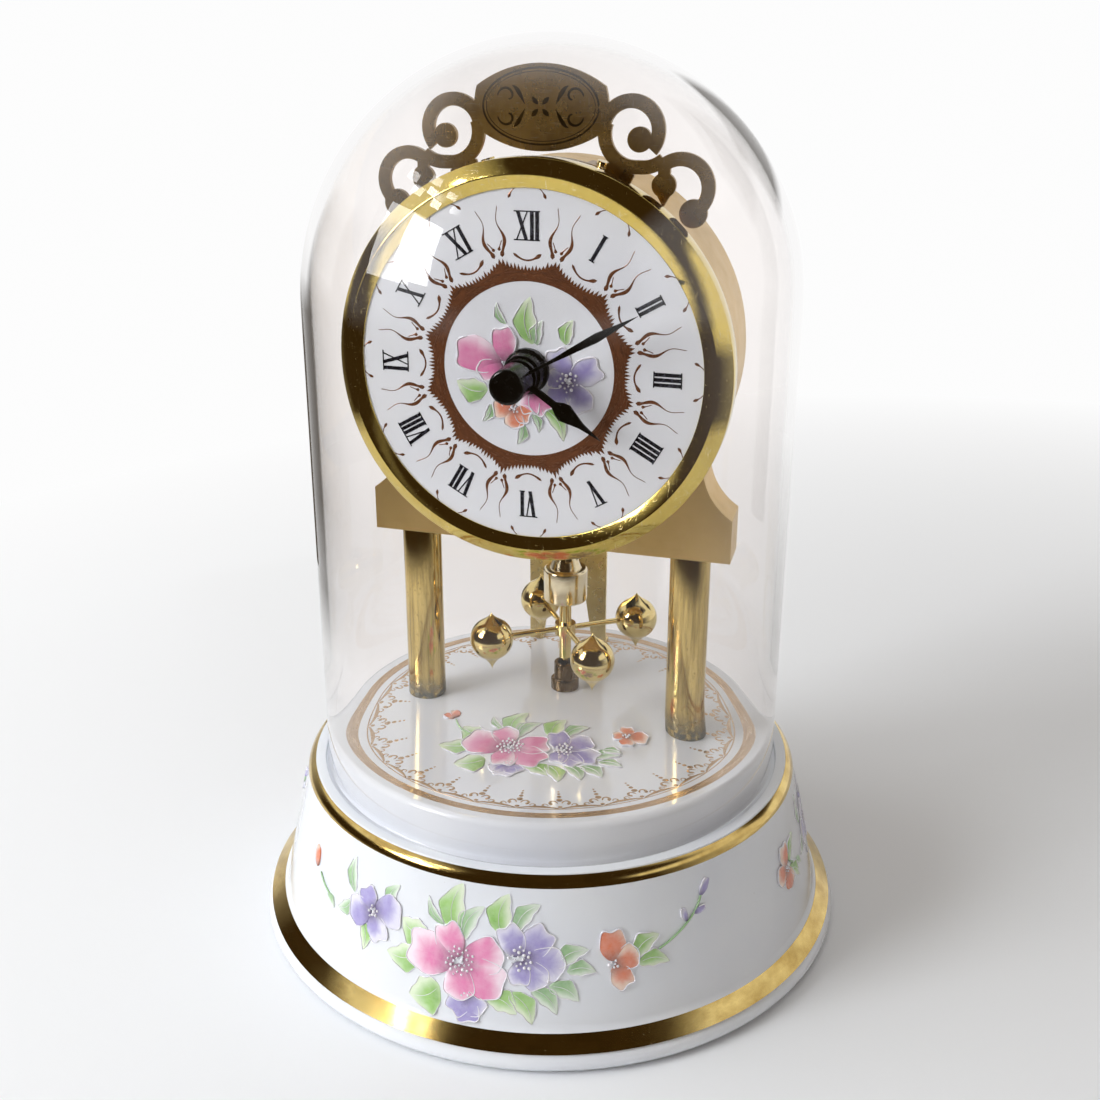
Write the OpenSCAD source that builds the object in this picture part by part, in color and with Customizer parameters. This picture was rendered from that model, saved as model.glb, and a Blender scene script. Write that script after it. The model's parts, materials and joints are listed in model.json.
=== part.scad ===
// Small quartz anniversary clock: porcelain base, glass dome, brass works
// and a slowly turning pendulum with four balls.
// The dial faces -Y, +Z is up, and the origin is the middle of the underside.

/* [Porcelain base] */
// Widest diameter of the foot
base_d = 115; // [113:0.5:120]
// Height of the platform that the works stand on
platform_h = 40.2; // [39:0.1:42]
// Height of the ledge that surrounds the dome
ledge_h = 33.4; // [31:0.1:34]
// Thickness of the porcelain
porcelain_t = 3.4; // [3:0.1:3.6]
// Thickness of the felt ring under the foot
felt_t = 0.8; // [0.6:0.1:1.2]

/* [Glass dome] */
// Room between the works and the glass at their nearest
dome_gap = 4.7; // [4.4:0.1:5.1]
// Clearance between the plaque and the dome's crown
crown_gap = 5; // [4.5:0.5:11]
// Thickness of the glass
glass_t = 1.6; // [1.4:0.1:1.8]

/* [Pillars and bracket] */
// Diameter of each pillar
pillar_d = 7.5; // [7:0.1:8]
// Distance between the two pillars
pillar_gap = 53; // [52:0.5:54]
// Diameter of the tie rods inside the pillars
rod_d = 3; // [2.6:0.1:3.4]
// Height of the bracket's underside, which carries the clock head
bracket_h = 76.4; // [70:0.4:84]
// Thickness of the bracket's brass under the middle of the case
saddle_t = 2.8; // [2.6:0.1:3.2]
// Width of the bracket
bracket_w = 68.6; // [68:0.2:69.4]
// Depth of the bracket from front to back
bracket_depth = 8.6; // [8.2:0.1:9]
// Thickness of the bracket's brass
bracket_t = 1.2; // [1:0.1:1.4]

/* [Clock head] */
// Outside diameter of the case behind the bezel
case_d = 66.4; // [66.2:0.1:66.8]
// How far the dial's edge stays inside the outside of the case
dial_margin = 1.6; // [1.3:0.1:2]
// Thickness of the dial
dial_t = 1.6; // [1.4:0.1:1.8]
// How far the dial's face stands in front of the dome's axis
dial_front = 14.8; // [14.4:0.1:15.2]
// How far the bezel reaches out over the case
bezel_over = 1.5; // [1.2:0.1:1.9]
// How far the bezel laps over the dial
bezel_lap = 1.6; // [1.3:0.1:2]
// How far the case reaches behind the dome's axis
case_back = 13; // [12.8:0.1:13.4]
// Thickness of the case wall
case_t = 1; // [0.8:0.1:1.1]

/* [Crest plate] */
// Half the width of the plaque
plaque_r = 11.4; // [11:0.1:11.8]
// Gap between the case and the plaque
plaque_gap = 1.8; // [1.6:0.1:2.4]
// Height of the plaque from its lowest to its highest point
plaque_tall = 13.6; // [13:0.1:13.8]
// Width of the scrolls' bands
scroll_w = 2.2; // [2:0.1:2.4]
// Thickness of the crest plate
crest_t = 1; // [0.8:0.1:1.2]

/* [Hands] */
// Reach of the minute hand from its axis
minute_reach = 23.4; // [21:0.1:26]
// Reach of the hour hand from its axis
hour_reach = 17.1; // [15:0.1:19]
// Thickness of the hands
hand_t = 0.4; // [0.3:0.05:0.5]
// Diameter of the minute arbor
arbor_d = 2; // [1.8:0.1:2.2]
// Diameter of the cap on the minute arbor
cap_d = 6; // [5.6:0.1:6.2]

/* [Motion work] */
// Width of the case in gear modules
case_modules = 132.8; // [130.4:0.4:138]
// Running clearance round each arbor
running_gap = 0.05; // [0.03:0.01:0.08]

/* [Pendulum] */
// How far the pendulum hangs behind the dome's axis
pendulum_back = 10.5; // [10.2:0.1:10.6]
// Distance from the pendulum's axis to the middle of each ball
ball_ring_r = 15.5; // [14.5:0.1:16]
// Diameter of the balls
ball_d = 8.6; // [8:0.1:9]
// Share of the room under the case that lies below the head's shoulder
head_share = 0.677; // [0.66:0.001:0.72]
// Diameter of the pendulum's head
head_d = 8.7; // [8.2:0.1:9.2]
// Diameter of the pendulum's rod
pendulum_rod_d = 2.4; // [2.2:0.1:2.8]

/* [Rear support] */
// Width of the rear support
support_w = 17.1; // [16.8:0.1:18]
// How far the rear support stands to the left of the middle
support_left = 5.2; // [5:0.1:5.4]
// How far the rear support stands behind the dome's axis
support_back = 31.4; // [31.4:0.1:31.6]
// Thickness of the rear support
support_t = 0.8; // [0.6:0.1:1]

/* [Power] */
// Diameter of the battery
battery_d = 14.2; // [14:0.1:14.4]
// Length of the battery's body
battery_len = 49.5; // [48.5:0.5:50]

/* [Hidden] */
$fn = 96;

// One overrun for all cuts, and the clearances that parts share
cut = 0.2;
fit_gap = 0.02;
slip_gap = 0.2;

// Diameters of the clock head, which follow the case
case_r = case_d / 2;
dial_r = case_r - dial_margin;
bezel_r = case_r + bezel_over;
bezel_open_r = dial_r - bezel_lap;
bezel_drop = 0.6;
gear_module = case_d / case_modules;

// Heights of the clock head, from the bracket up to the dome's crown
case_low = bracket_h + saddle_t;
dial_h = case_low + case_r;
plaque_h = dial_h + case_r + plaque_gap + plaque_tall / 2;
dome_top = plaque_h + plaque_tall / 2 + crown_gap;

// The dome clears the bezel in front and the rear support's feet behind
support_half = support_w / 2;
foot_deep = 3.4;
front_reach = norm([bezel_r, dial_front - bezel_drop]);
rear_reach = norm([support_left + support_half, support_back + foot_deep]);
dome_in_r = max(front_reach, rear_reach) + dome_gap;
dome_r = dome_in_r + glass_t;

// Porcelain: the foot, the two banded shoulders and the groove for the glass
base_r = base_d / 2;
foot_round = 1.7;
foot_w = 5.3;
band_out = 0.95;
band_in = 3.4;
band_low = 4.2;
band_high = 6.3;
skirt_fillet = 1.6;
shoulder_round = 2.8;
shoulder_in = 1.2;
ledge_w = 2.6;
groove_deep = 0.9;
groove_gap = 0.6;
groove_wall = 1.1;
platform_gap = 0.9;
platform_round = 1.4;
dome_middle = dome_top - dome_r;
platform_r = dome_in_r - platform_gap;
groove_r = dome_r + groove_gap;
ledge_r = dome_r + ledge_w;
skirt_top_r = ledge_r - shoulder_in + shoulder_round;
band_r = base_r - band_in;
dome_seat = ledge_h - groove_deep;
underside = platform_h - porcelain_t;
felt_out_r = base_r - foot_round;
felt_in_r = felt_out_r - foot_w;

// Pillars, tie rods and bracket
pillar_x = pillar_gap / 2;
bracket_front = 3.4;
bracket_back = bracket_depth - bracket_front;
pillar_y = (bracket_back - bracket_front) / 2;
pillar_wall = 0.9;
rod_r = rod_d / 2;
nut_r = 2.75;
nut_t = 2.2;
washer_r = 3.4;
washer_t = 0.8;
rod_proud = 0.8;
rod_bottom = underside - washer_t - nut_t - rod_proud;
rod_top = bracket_h + bracket_t + nut_t + rod_proud;
bracket_half = bracket_w / 2;
horn_r = 11.7;
horn_out = 6.1;
horn_x = bracket_half + horn_out;
horn_up = 18.2;
pocket_from = 14;
saddle_r = case_r + fit_gap;
case_in_r = case_r - case_t;
case_bolt_x = 8;
case_bolt_r = 1;
case_bolt_head_r = 1.9;
case_bolt_head_t = 1.1;
case_nut_r = 2;
case_nut_t = 1.4;
case_nut_lift = 0.75;
case_nut_z = dial_h - sqrt(pow(case_in_r, 2) - pow(case_bolt_x, 2)) + case_nut_lift;

// Clock head: names with front or rear count forward from the dome's axis
ridge_in = 2.5;
ridge_proud = 1.1;
bezel_lip = 0.2;
bezel_deep = 4.6;
bezel_gap = 0.1;
dial_rear = dial_front - dial_t;
backing_t = 0.8;
backing_rear = dial_rear - backing_t;
bush_r = 3.4;
bush_proud = 3.6;
bush_front = dial_front + bush_proud;
dial_nut_r = 3.9;
dial_nut_t = 1.3;

// Hands and their pipes
arbor_r = arbor_d / 2;
pipe_t = 1.15;
pipe_r = arbor_r + running_gap + pipe_t;
pipe_proud = 1.9;
pipe_front = bush_front + pipe_proud;
hand_gap = 0.3;
hub_wall = 0.8;
hour_hub_r = pipe_r + hub_wall;
hour_hub_t = 1.3;
hour_hand_front = bush_front + hand_gap + hour_hub_t;
hour_half_w = 1.65;
hour_hand_shares = [[0.12, 0.36], [0.43, 0.36], [0.5, 0.8], [0.56, 1], [0.62, 0.8],
    [0.76, 0.34], [1, 0]];
minute_hub_r = arbor_r + hub_wall + hub_wall / 2;
minute_hub_t = 0.8;
minute_hand_front = pipe_front + hand_gap + minute_hub_t;
minute_half_w = 0.75;
minute_hand_shares = [[0.09, 0.4], [0.3, 0.4], [0.667, 1], [0.9, 0.3], [1, 0]];
cap_r = cap_d / 2;
cap_len = 5.7;
cap_round = 0.35;
arbor_grip = 2.8;
minute_angle = 60;
hour_angle = 120 + minute_angle / 12;

// Motion work: tooth counts, tooth form and the places of the two side arbors
pinion_teeth = 10;
wheel_teeth = 30;
leaf_teeth = 8;
hour_teeth = 32;
setting_teeth = 12;
addendum_share = 0.8;
dedendum_share = 1.15;
tooth_share = 0.4;
tip_share = 0.45;
root_share = 1.2;
motion_dir = -45;
setting_dir = 21;
motion_dist = gear_module * (pinion_teeth + wheel_teeth) / 2;
setting_dist = gear_module * (wheel_teeth + setting_teeth) / 2;
motion_x = motion_dist * cos(motion_dir);
motion_z = motion_dist * sin(motion_dir);
setting_x = motion_x + setting_dist * cos(setting_dir);
setting_z = motion_z + setting_dist * sin(setting_dir);
wheel_phase = motion_dir + 180 + 180 / wheel_teeth;
hour_phase = motion_dir + 180 / hour_teeth;
setting_phase = setting_dir + 180 + 180 / setting_teeth;

// Movement housing: a square box inside the case
housing_gap = 0.77;
housing_half = case_in_r * sin(45) - housing_gap;
housing_wall = 1.2;
housing_front = backing_rear;
housing_back = case_back - case_t - slip_gap;
inside_front = housing_front - housing_wall;
inside_back = housing_back - housing_wall;
inside_half = housing_half - housing_wall;
housing_low = dial_h - housing_half;
wheel_t = 1.2;
wheel_space = 0.9;
play = 0.3;
hour_wheel_front = inside_front - play;
hour_wheel_rear = hour_wheel_front - wheel_t;
leaf_front = inside_front - slip_gap;
motion_wheel_front = hour_wheel_rear - wheel_space;
motion_wheel_rear = motion_wheel_front - wheel_t;
pinion_front = motion_wheel_front + slip_gap;
pinion_rear = motion_wheel_rear - slip_gap;
stud_r = 0.7;
stud_deep = 0.8;
stud_head_r = 1.2;
stud_head_t = 0.5;
post_r = 2.2;
post_front = 5;
post_bore_deep = 4.2;
arbor_rear = post_front - post_bore_deep + play;
pivot_r = 0.8;
shaft_r = 1;
board_t = 1;
board_w = 30;
board_low = 5;
board_tall = 14;
coil_r = 2.2;
coil_len = 14;
coil_up = 9;
coil_flange = 5.2;
crystal_r = 1;
crystal_len = 6;
crystal_up = 16;
block_half = 4;
block_tall = 9;
block_deep = 4;
knob_r = 4.8;
knob_t = 5;
knob_gap = 0.6;
knob_grip = 4;
knob_ribs = 24;
knob_rib_r = 0.35;

// Battery box: on the back of the case, lined up with the rear support
battery_r = battery_d / 2;
bay_gap = 0.35;
box_wall = 1.8;
box_half = battery_r + bay_gap + box_wall;
box_block = 5;
box_drop = 33.4;
box_low = dial_h - box_drop;
bay_low = box_low + box_block;
contact_t = 0.4;
contact_w = 6;
contact_bump_r = 2;
contact_bump_t = 1.2;
tip_r = 2.7;
tip_t = 1;
battery_z = bay_low + contact_t + contact_bump_t;
battery_y = case_back + box_wall + bay_gap + battery_r;
bay_high = battery_z + battery_len + tip_t + contact_t;
box_high = bay_high + box_wall;
box_screw_r = 1;
box_screw_head_r = 1.8;
box_screw_head_t = 0.7;
box_screw_spread = 17;
box_screw_tip = inside_back + play;

// Rear support: a plate with an arched foot, bent back where it stands
support_x = -support_left;
support_gap = 0.4;
support_top = bay_low - support_gap;
arch_half = 5.7;
arch_top_r = 4.2;
arch_h = 14;
foot_bolt_x = (support_half + arch_half) / 2;
foot_bolt_y = support_back + support_t + (foot_deep - support_t) / 2;
foot_bolt_r = 0.7;
foot_head_r = 1.2;
foot_head_t = 0.7;
foot_nut_r = 1.5;
foot_nut_t = 1.2;
support_screw_x = 5;
support_screw_drop = 2.6;
support_screw_r = 0.9;
support_screw_head_r = 1.6;
support_screw_head_t = 0.8;
support_screw_len = 4;

// Pendulum, from the spindle in the housing down to the guide cup
head_high = platform_h + head_share * (case_low - platform_h);
spindle_r = 1.2;
spindle_neck_r = 0.8;
spindle_lift = 1.6;
spindle_low = head_high + spindle_lift;
spindle_step_up = 4.8;
spindle_step = case_low + spindle_step_up;
spindle_hole_r = 2;
cross_pin_r = 0.5;
cross_pin_len = 6;
cross_pin_z = spindle_low + 2 * cross_pin_r;
magnet_r = 1.1;
magnet_t = 3.6;
magnet_up = 5;
magnet_low = housing_low + magnet_up;
magnet_gap = 0.15;
head_r = head_d / 2;
head_tall = 6.8;
head_low = head_high - head_tall;
head_round = 0.5;
crown_tall = 3.1;
crown_low_r = 3.1;
crown_top_r = 2.1;
crown_bore_r = 1.4;
crown_slots = 3;
slot_w = 1.2;
slot_deep = 1.2;
cup_r = 2.85;
cup_upper_r = 2.2;
cup_step = 2.2;
cup_tall = 5.8;
cup_bore_r = 1.5;
cup_bore_deep = 4.4;
cup_stud_r = 1;
cup_nut_r = 2.2;
cup_nut_t = 1.4;
pendulum_rod_r = pendulum_rod_d / 2;
rod_lift = 1;
rod_low = platform_h + cup_tall + rod_lift;
rod_neck_r = 0.8;
rod_neck_len = 3;
pin_r = 0.7;
pin_len = 4;
pin_low = rod_low - pin_len;
ball_h = (rod_low + head_low) / 2;
hub_r = 2.1;
hub_tall = 2.4;
arm_r = 0.55;
arm_deep = 1.5;
ball_r = ball_d / 2;
ball_up = 1.4;
ball_down = 2.4;
ball_cap_angle = 75;
first_ball = 34.9;

// Crest scrolls, measured from the plaque's middle
crest_front = 7.2;
crest_rear = crest_front - crest_t;
plaque_arc_r = 19;
curl_x = 15.1;
curl_drop = 3.3;
curl_r = 4.55;
curl_ball_x = 16.6;
curl_ball_drop = 4.6;
curl_ball_r = 2;
stem_x = 15.9;
stem_drop = 3.8;
stem_r = 5.1;
dip_x = 17.2;
lower_x = 23.5;
lower_drop = 12;
lower_r = 4.55;
lower_ball_r = 2.3;
lower_end = -60;
bud_x = 20.8;
bud_drop = 11.6;
bud_r = 2;
bud_tip = 3.5;
crest_seat_r = case_r + fit_gap;
strip_t = 1.1;
strip_angle = 24;
stem_up = plaque_h - stem_drop - dial_h;
stem_near = norm([stem_x, stem_up]) - stem_r - scroll_w / 2;
heel_sink = 0.4;
heel_t = stem_near + heel_sink - crest_seat_r;
heel_angle = atan2(stem_x, stem_up);
heel_half_angle = 4;
tab_len = 4;
tab_angle = 17;
tab_half_angle = 4;
crest_screw_r = 0.6;
crest_screw_head_r = 1.2;
crest_screw_head_t = 0.6;
crest_screw_len = 3;
crest_screw_seat = crest_seat_r + strip_t + fit_gap;

// Points along an arc from angle a to angle b, in n steps
function arc(cx, cy, r, a, b, n) =
    [for (i = [0:n]) [cx + r * cos(a + (b - a) * i / n), cy + r * sin(a + (b - a) * i / n)]];

// Toothed outline, with the middle of its first tooth at an angle
function gear_outline(teeth, phase) = let (
        pitch_r = gear_module * teeth / 2,
        tip_r = pitch_r + addendum_share * gear_module,
        root_r = pitch_r - dedendum_share * gear_module,
        half = tooth_share * 180 / teeth)
    [for (i = [0:teeth - 1])
        for (p = [[root_r, -root_share], [pitch_r, -1], [tip_r, -tip_share],
                [tip_r, tip_share], [pitch_r, 1], [root_r, root_share]])
            let (a = phase + 360 * i / teeth + p[1] * half) [p[0] * cos(a), p[0] * sin(a)]];

// Hand outline: shares of its reach and of half its width, on both sides
function hand_outline(reach, half_w, shares) = concat(
    [for (s = shares) [s[1] * half_w, s[0] * reach]],
    [for (i = [len(shares) - 2:-1:0]) [-shares[i][1] * half_w, shares[i][0] * reach]]);

// Revolve about the dial's axis, the profile drawn as radius and distance forward
module dial_revolve() {
    translate([0, 0, dial_h]) rotate([90, 0, 0]) rotate_extrude() children();
}

// Plate parallel to the dial, drawn about the dial's middle
module dial_plate(rear, front) {
    translate([0, -rear, dial_h]) rotate([90, 0, 0]) linear_extrude(front - rear) children();
}

// Upright plate whose outline is drawn in heights above the table
module upright_plate(rear, front) {
    translate([0, -rear, 0]) rotate([90, 0, 0]) linear_extrude(front - rear) children();
}

// Rod parallel to the dial's axis, at x and z from the dial's middle
module dial_rod(x, z, r, rear, front) {
    dial_plate(rear, front) translate([x, z]) circle(r = r);
}

// Ring lying flat between two heights
module ring(outer, inner, low, high) {
    translate([0, 0, low]) linear_extrude(high - low) difference() {
        circle(r = outer);
        circle(r = inner);
    }
}

// Upright pin between two heights
module upright_pin(r, low, high) {
    translate([0, 0, low]) cylinder(r = r, h = high - low);
}

// Six-sided nut standing on height z
module nut(r, bore, z, t) {
    difference() {
        translate([0, 0, z]) cylinder(r = r, h = t, $fn = 6);
        upright_pin(bore, z - cut, z + t + cut);
    }
}

// Part of a flat ring w wide about radius r, from angle a to angle b
module arc_band(r, w, a, b) {
    intersection() {
        difference() {
            circle(r = r + w / 2);
            circle(r = r - w / 2);
        }
        polygon(concat([[0, 0]], arc(0, 0, 2 * (r + w), a, b, 12)));
    }
}

module at_pillars() {
    for (side = [-1, 1]) translate([side * pillar_x, pillar_y, 0]) children();
}

module at_case_bolts() {
    for (side = [-1, 1]) translate([side * case_bolt_x, pillar_y, 0]) children();
}

module at_foot_bolts() {
    for (side = [-1, 1]) translate([support_x + side * foot_bolt_x, foot_bolt_y, 0]) children();
}

// Forward from the back of the rear support, at its two screws
module at_support_screws() {
    for (side = [-1, 1])
        translate([support_x + side * support_screw_x, support_back + support_t,
            support_top - support_screw_drop]) rotate([90, 0, 0]) children();
}

// Outward from the dial's middle, through the two tabs of the crest plate
module at_crest_screws() {
    for (side = [-1, 1]) translate([0, tab_len / 2 - crest_rear, dial_h])
        rotate([0, side * tab_angle, 0]) children();
}

module at_pendulum() {
    translate([0, pendulum_back, 0]) children();
}

// At the middle of each ball's arm, turned so that X points along the arm
module at_arms() {
    at_pendulum() for (i = [0:3]) translate([0, 0, ball_h]) rotate(first_ball + 90 * i) children();
}

// Outline of the base's outside, from the felt's seat up to the platform's middle
function base_outside() = concat(
    [[felt_in_r, felt_t], [felt_out_r, felt_t]],
    arc(base_r - foot_round, felt_t / 2 + foot_round, foot_round, -90, 40, 10),
    [[base_r - band_out, band_low]],
    arc(band_r + skirt_fillet / 2, band_high + skirt_fillet * sin(60), skirt_fillet, 240, 180, 6),
    arc(ledge_r - shoulder_in, ledge_h - shoulder_round, shoulder_round, 0, 64, 8),
    [[ledge_r, ledge_h], [groove_r, ledge_h], [groove_r, dome_seat], [platform_r, dome_seat]],
    arc(platform_r - platform_round, platform_h - platform_round, platform_round, 0, 90, 8),
    [[0, platform_h]]);

// Outline of the hollow under the base, from the middle back down to the foot
function base_inside() = [
    [0, underside],
    [platform_r - porcelain_t, underside],
    [platform_r - porcelain_t, dome_seat - porcelain_t],
    [groove_r - groove_wall, dome_seat - porcelain_t],
    [skirt_top_r - porcelain_t, dome_seat - 2 * porcelain_t],
    [band_r - porcelain_t - skirt_fillet, band_high + skirt_fillet],
    [felt_in_r, band_low]];

module porcelain_base() {
    color("white") difference() {
        rotate_extrude() polygon(concat(base_outside(), base_inside()));
        at_pillars() upright_pin(rod_r + slip_gap, underside - cut, platform_h + cut);
        at_pendulum() upright_pin(cup_stud_r + slip_gap, underside - cut, platform_h + cut);
        at_foot_bolts() upright_pin(foot_bolt_r + slip_gap, underside - cut, platform_h + cut);
    }
}

module felt_ring() {
    color("darkgreen") ring(felt_out_r, felt_in_r, 0, felt_t);
}

// Half the outline of a dome of radius r that stands on height low
module dome_profile(r, low) {
    translate([0, low]) square([r, dome_middle - low]);
    intersection() {
        translate([0, dome_middle]) circle(r = r);
        translate([0, dome_middle - cut]) square(r + cut);
    }
}

module glass_dome() {
    color("lightblue", 0.3) rotate_extrude() difference() {
        dome_profile(dome_r, dome_seat);
        dome_profile(dome_in_r, dome_seat - cut);
    }
}

module left_pillar() {
    color("goldenrod") translate([-pillar_x, pillar_y, 0])
        ring(pillar_d / 2, pillar_d / 2 - pillar_wall, platform_h, bracket_h);
}

module right_pillar() {
    color("goldenrod") translate([pillar_x, pillar_y, 0])
        ring(pillar_d / 2, pillar_d / 2 - pillar_wall, platform_h, bracket_h);
}

module tie_rods() {
    color("silver") at_pillars() upright_pin(rod_r, rod_bottom, rod_top);
}

module tie_rod_nuts() {
    color("silver") at_pillars() {
        nut(nut_r, rod_r + fit_gap, underside - washer_t - nut_t, nut_t);
        nut(nut_r, rod_r + fit_gap, bracket_h + bracket_t, nut_t);
    }
}

module tie_rod_washers() {
    color("saddlebrown") at_pillars()
        ring(washer_r, rod_r + slip_gap, underside - washer_t, underside);
}

// Front outline of the bracket, drawn in by inset all round
module bracket_outline(inset) {
    difference() {
        translate([inset - bracket_half, bracket_h + inset])
            square([bracket_w - 2 * inset, horn_up + cut]);
        for (side = [0, 1]) mirror([side, 0]) {
            translate([horn_x, bracket_h + horn_up]) circle(r = horn_r + inset);
            translate([horn_x - horn_r - inset, bracket_h + horn_up]) square(horn_r);
        }
        translate([0, dial_h]) circle(r = saddle_r + inset);
    }
}

// The bracket is open at the back on both sides of its solid middle
module movement_bracket() {
    color("burlywood") difference() {
        upright_plate(-bracket_back, bracket_front) bracket_outline(0);
        upright_plate(-bracket_back - cut, bracket_front - bracket_t) intersection() {
            bracket_outline(bracket_t);
            for (side = [0, 1]) mirror([side, 0])
                translate([pocket_from, 0]) square([bracket_w, dial_h]);
        }
        at_pillars() upright_pin(rod_r + slip_gap, bracket_h - cut, bracket_h + 2 * bracket_t);
        at_case_bolts() upright_pin(case_bolt_r + slip_gap, bracket_h - cut, case_nut_z);
    }
}

// The case: a brass cup behind the bezel, holed for what passes through it
module case_drum() {
    rear_wall = [-case_back - cut, case_t + cut - case_back];
    color("burlywood") difference() {
        dial_revolve() polygon([
            [case_r, backing_rear], [case_r, -case_back], [0, -case_back],
            [0, case_t - case_back], [case_in_r, case_t - case_back], [case_in_r, backing_rear]]);
        at_pendulum() upright_pin(spindle_hole_r, bracket_h, housing_low);
        at_case_bolts() upright_pin(case_bolt_r + slip_gap, bracket_h, case_nut_z);
        dial_rod(setting_x, setting_z, shaft_r + slip_gap, rear_wall[0], rear_wall[1]);
        for (side = [-1, 1]) dial_rod(support_x, side * box_screw_spread, box_screw_r + slip_gap,
            rear_wall[0], rear_wall[1]);
        at_crest_screws() upright_pin(crest_screw_r + fit_gap, case_in_r - case_t, case_r + cut);
    }
}

module case_bolts() {
    color("goldenrod") at_case_bolts() {
        upright_pin(case_bolt_head_r, bracket_h - case_bolt_head_t, bracket_h);
        upright_pin(case_bolt_r, bracket_h - cut, case_nut_z + case_nut_t + cut);
    }
}

module case_nuts() {
    color("silver") at_case_bolts()
        nut(case_nut_r, case_bolt_r + fit_gap, case_nut_z, case_nut_t);
}

module bezel() {
    color("gold") dial_revolve() polygon([
        [bezel_open_r, dial_front + bezel_lip],
        [bezel_r - ridge_in, dial_front + ridge_proud],
        [bezel_r, dial_front - bezel_drop],
        [bezel_r, dial_front - bezel_deep],
        [case_r + bezel_gap, dial_front - bezel_deep],
        [case_r + bezel_gap, dial_rear],
        [dial_r + bezel_gap, dial_rear],
        [dial_r + bezel_gap, dial_front],
        [bezel_open_r, dial_front]]);
}

module backing_plate() {
    color("silver") dial_plate(backing_rear, dial_rear) difference() {
        circle(r = case_r);
        circle(r = bush_r + slip_gap);
    }
}

module dial() {
    color("white") dial_plate(dial_rear, dial_front) difference() {
        circle(r = dial_r);
        circle(r = bush_r + slip_gap);
    }
}

module dial_nut() {
    color("black") dial_revolve() polygon([
        [bush_r + fit_gap, dial_front],
        [dial_nut_r, dial_front],
        [dial_nut_r, dial_front + dial_nut_t / 2],
        [dial_nut_r - dial_nut_t / 4, dial_front + dial_nut_t],
        [bush_r + fit_gap, dial_front + dial_nut_t]]);
}

// Upper curl beside the plaque, ending in a ball
module curl() {
    translate([curl_x, plaque_h - curl_drop]) arc_band(curl_r, scroll_w, -40, 185);
    translate([curl_ball_x, plaque_h - curl_ball_drop]) circle(r = curl_ball_r);
}

// Stem that runs down from the plaque and sweeps out along the case
module stem() {
    translate([stem_x, plaque_h - stem_drop]) {
        arc_band(stem_r, scroll_w, 160, 271);
        translate([0, -stem_r - scroll_w / 2]) square([dip_x - stem_x, scroll_w]);
        translate([dip_x - stem_x, 0]) arc_band(stem_r, scroll_w, 269, 312);
    }
}

// Lower scroll, curling over to a ball
module lower_scroll() {
    translate([lower_x, plaque_h - lower_drop]) {
        arc_band(lower_r, scroll_w, lower_end, 128);
        translate([lower_r * cos(lower_end), lower_r * sin(lower_end)]) circle(r = lower_ball_r);
    }
}

// Leaf bud hanging where the stem meets the lower scroll
module bud() {
    translate([bud_x, plaque_h - bud_drop]) {
        circle(r = bud_r);
        polygon([[-bud_r, 0], [0, -bud_tip], [bud_r, 0]]);
        translate([-bud_r / 2, 0]) square([bud_r, bud_r + scroll_w / 2]);
    }
}

// Barrel-shaped plaque between two shallow arcs
module plaque() {
    intersection() {
        translate([0, plaque_h]) circle(r = plaque_r);
        translate([0, plaque_h + plaque_tall / 2 - plaque_arc_r]) circle(r = plaque_arc_r);
        translate([0, plaque_h - plaque_tall / 2 + plaque_arc_r]) circle(r = plaque_arc_r);
    }
}

module crest_outline() {
    plaque();
    for (side = [0, 1]) mirror([side, 0]) {
        curl();
        stem();
        lower_scroll();
        bud();
    }
}

// Strip on the case under the crest, with a heel below each stem
module crest_strip() {
    arc_band(crest_seat_r + strip_t / 2, strip_t, 90 - strip_angle, 90 + strip_angle);
    for (side = [0, 1]) mirror([side, 0])
        arc_band(crest_seat_r + heel_t / 2, heel_t, 90 - heel_angle - heel_half_angle,
            90 - heel_angle + heel_half_angle);
}

// Tabs bent back from the strip, for the two screws
module crest_tabs() {
    for (side = [-1, 1]) arc_band(crest_seat_r + strip_t / 2, strip_t,
        90 + side * tab_angle - tab_half_angle, 90 + side * tab_angle + tab_half_angle);
}

module crest_plate() {
    color("darkgoldenrod") difference() {
        union() {
            upright_plate(crest_rear, crest_front) crest_outline();
            dial_plate(crest_rear, crest_front) crest_strip();
            dial_plate(crest_rear - tab_len, crest_rear + crest_t / 2) crest_tabs();
        }
        at_crest_screws() upright_pin(crest_screw_r + fit_gap, case_r, case_r + 2 * strip_t);
    }
}

module crest_screws() {
    color("goldenrod") at_crest_screws() {
        upright_pin(crest_screw_r, crest_screw_seat - crest_screw_len, crest_screw_seat + cut);
        upright_pin(crest_screw_head_r, crest_screw_seat, crest_screw_seat + crest_screw_head_t);
    }
}

// Blade on a hub, bored to fit the pipe or arbor that carries it
module hand(angle, outline, hub_r, bore_r, rear, front) {
    dial_plate(front - hand_t, front) difference() {
        union() {
            rotate(-angle) polygon(outline);
            circle(r = hub_r);
        }
        circle(r = bore_r);
    }
    dial_plate(rear, front - hand_t / 2) difference() {
        circle(r = hub_r);
        circle(r = bore_r);
    }
}

module hour_hand() {
    color("black") hand(hour_angle, hand_outline(hour_reach, hour_half_w, hour_hand_shares),
        hour_hub_r, pipe_r + fit_gap, hour_hand_front - hour_hub_t, hour_hand_front);
}

module minute_hand() {
    color("black") hand(minute_angle, hand_outline(minute_reach, minute_half_w, minute_hand_shares),
        minute_hub_r, arbor_r + fit_gap, minute_hand_front - minute_hub_t, minute_hand_front);
}

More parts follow.
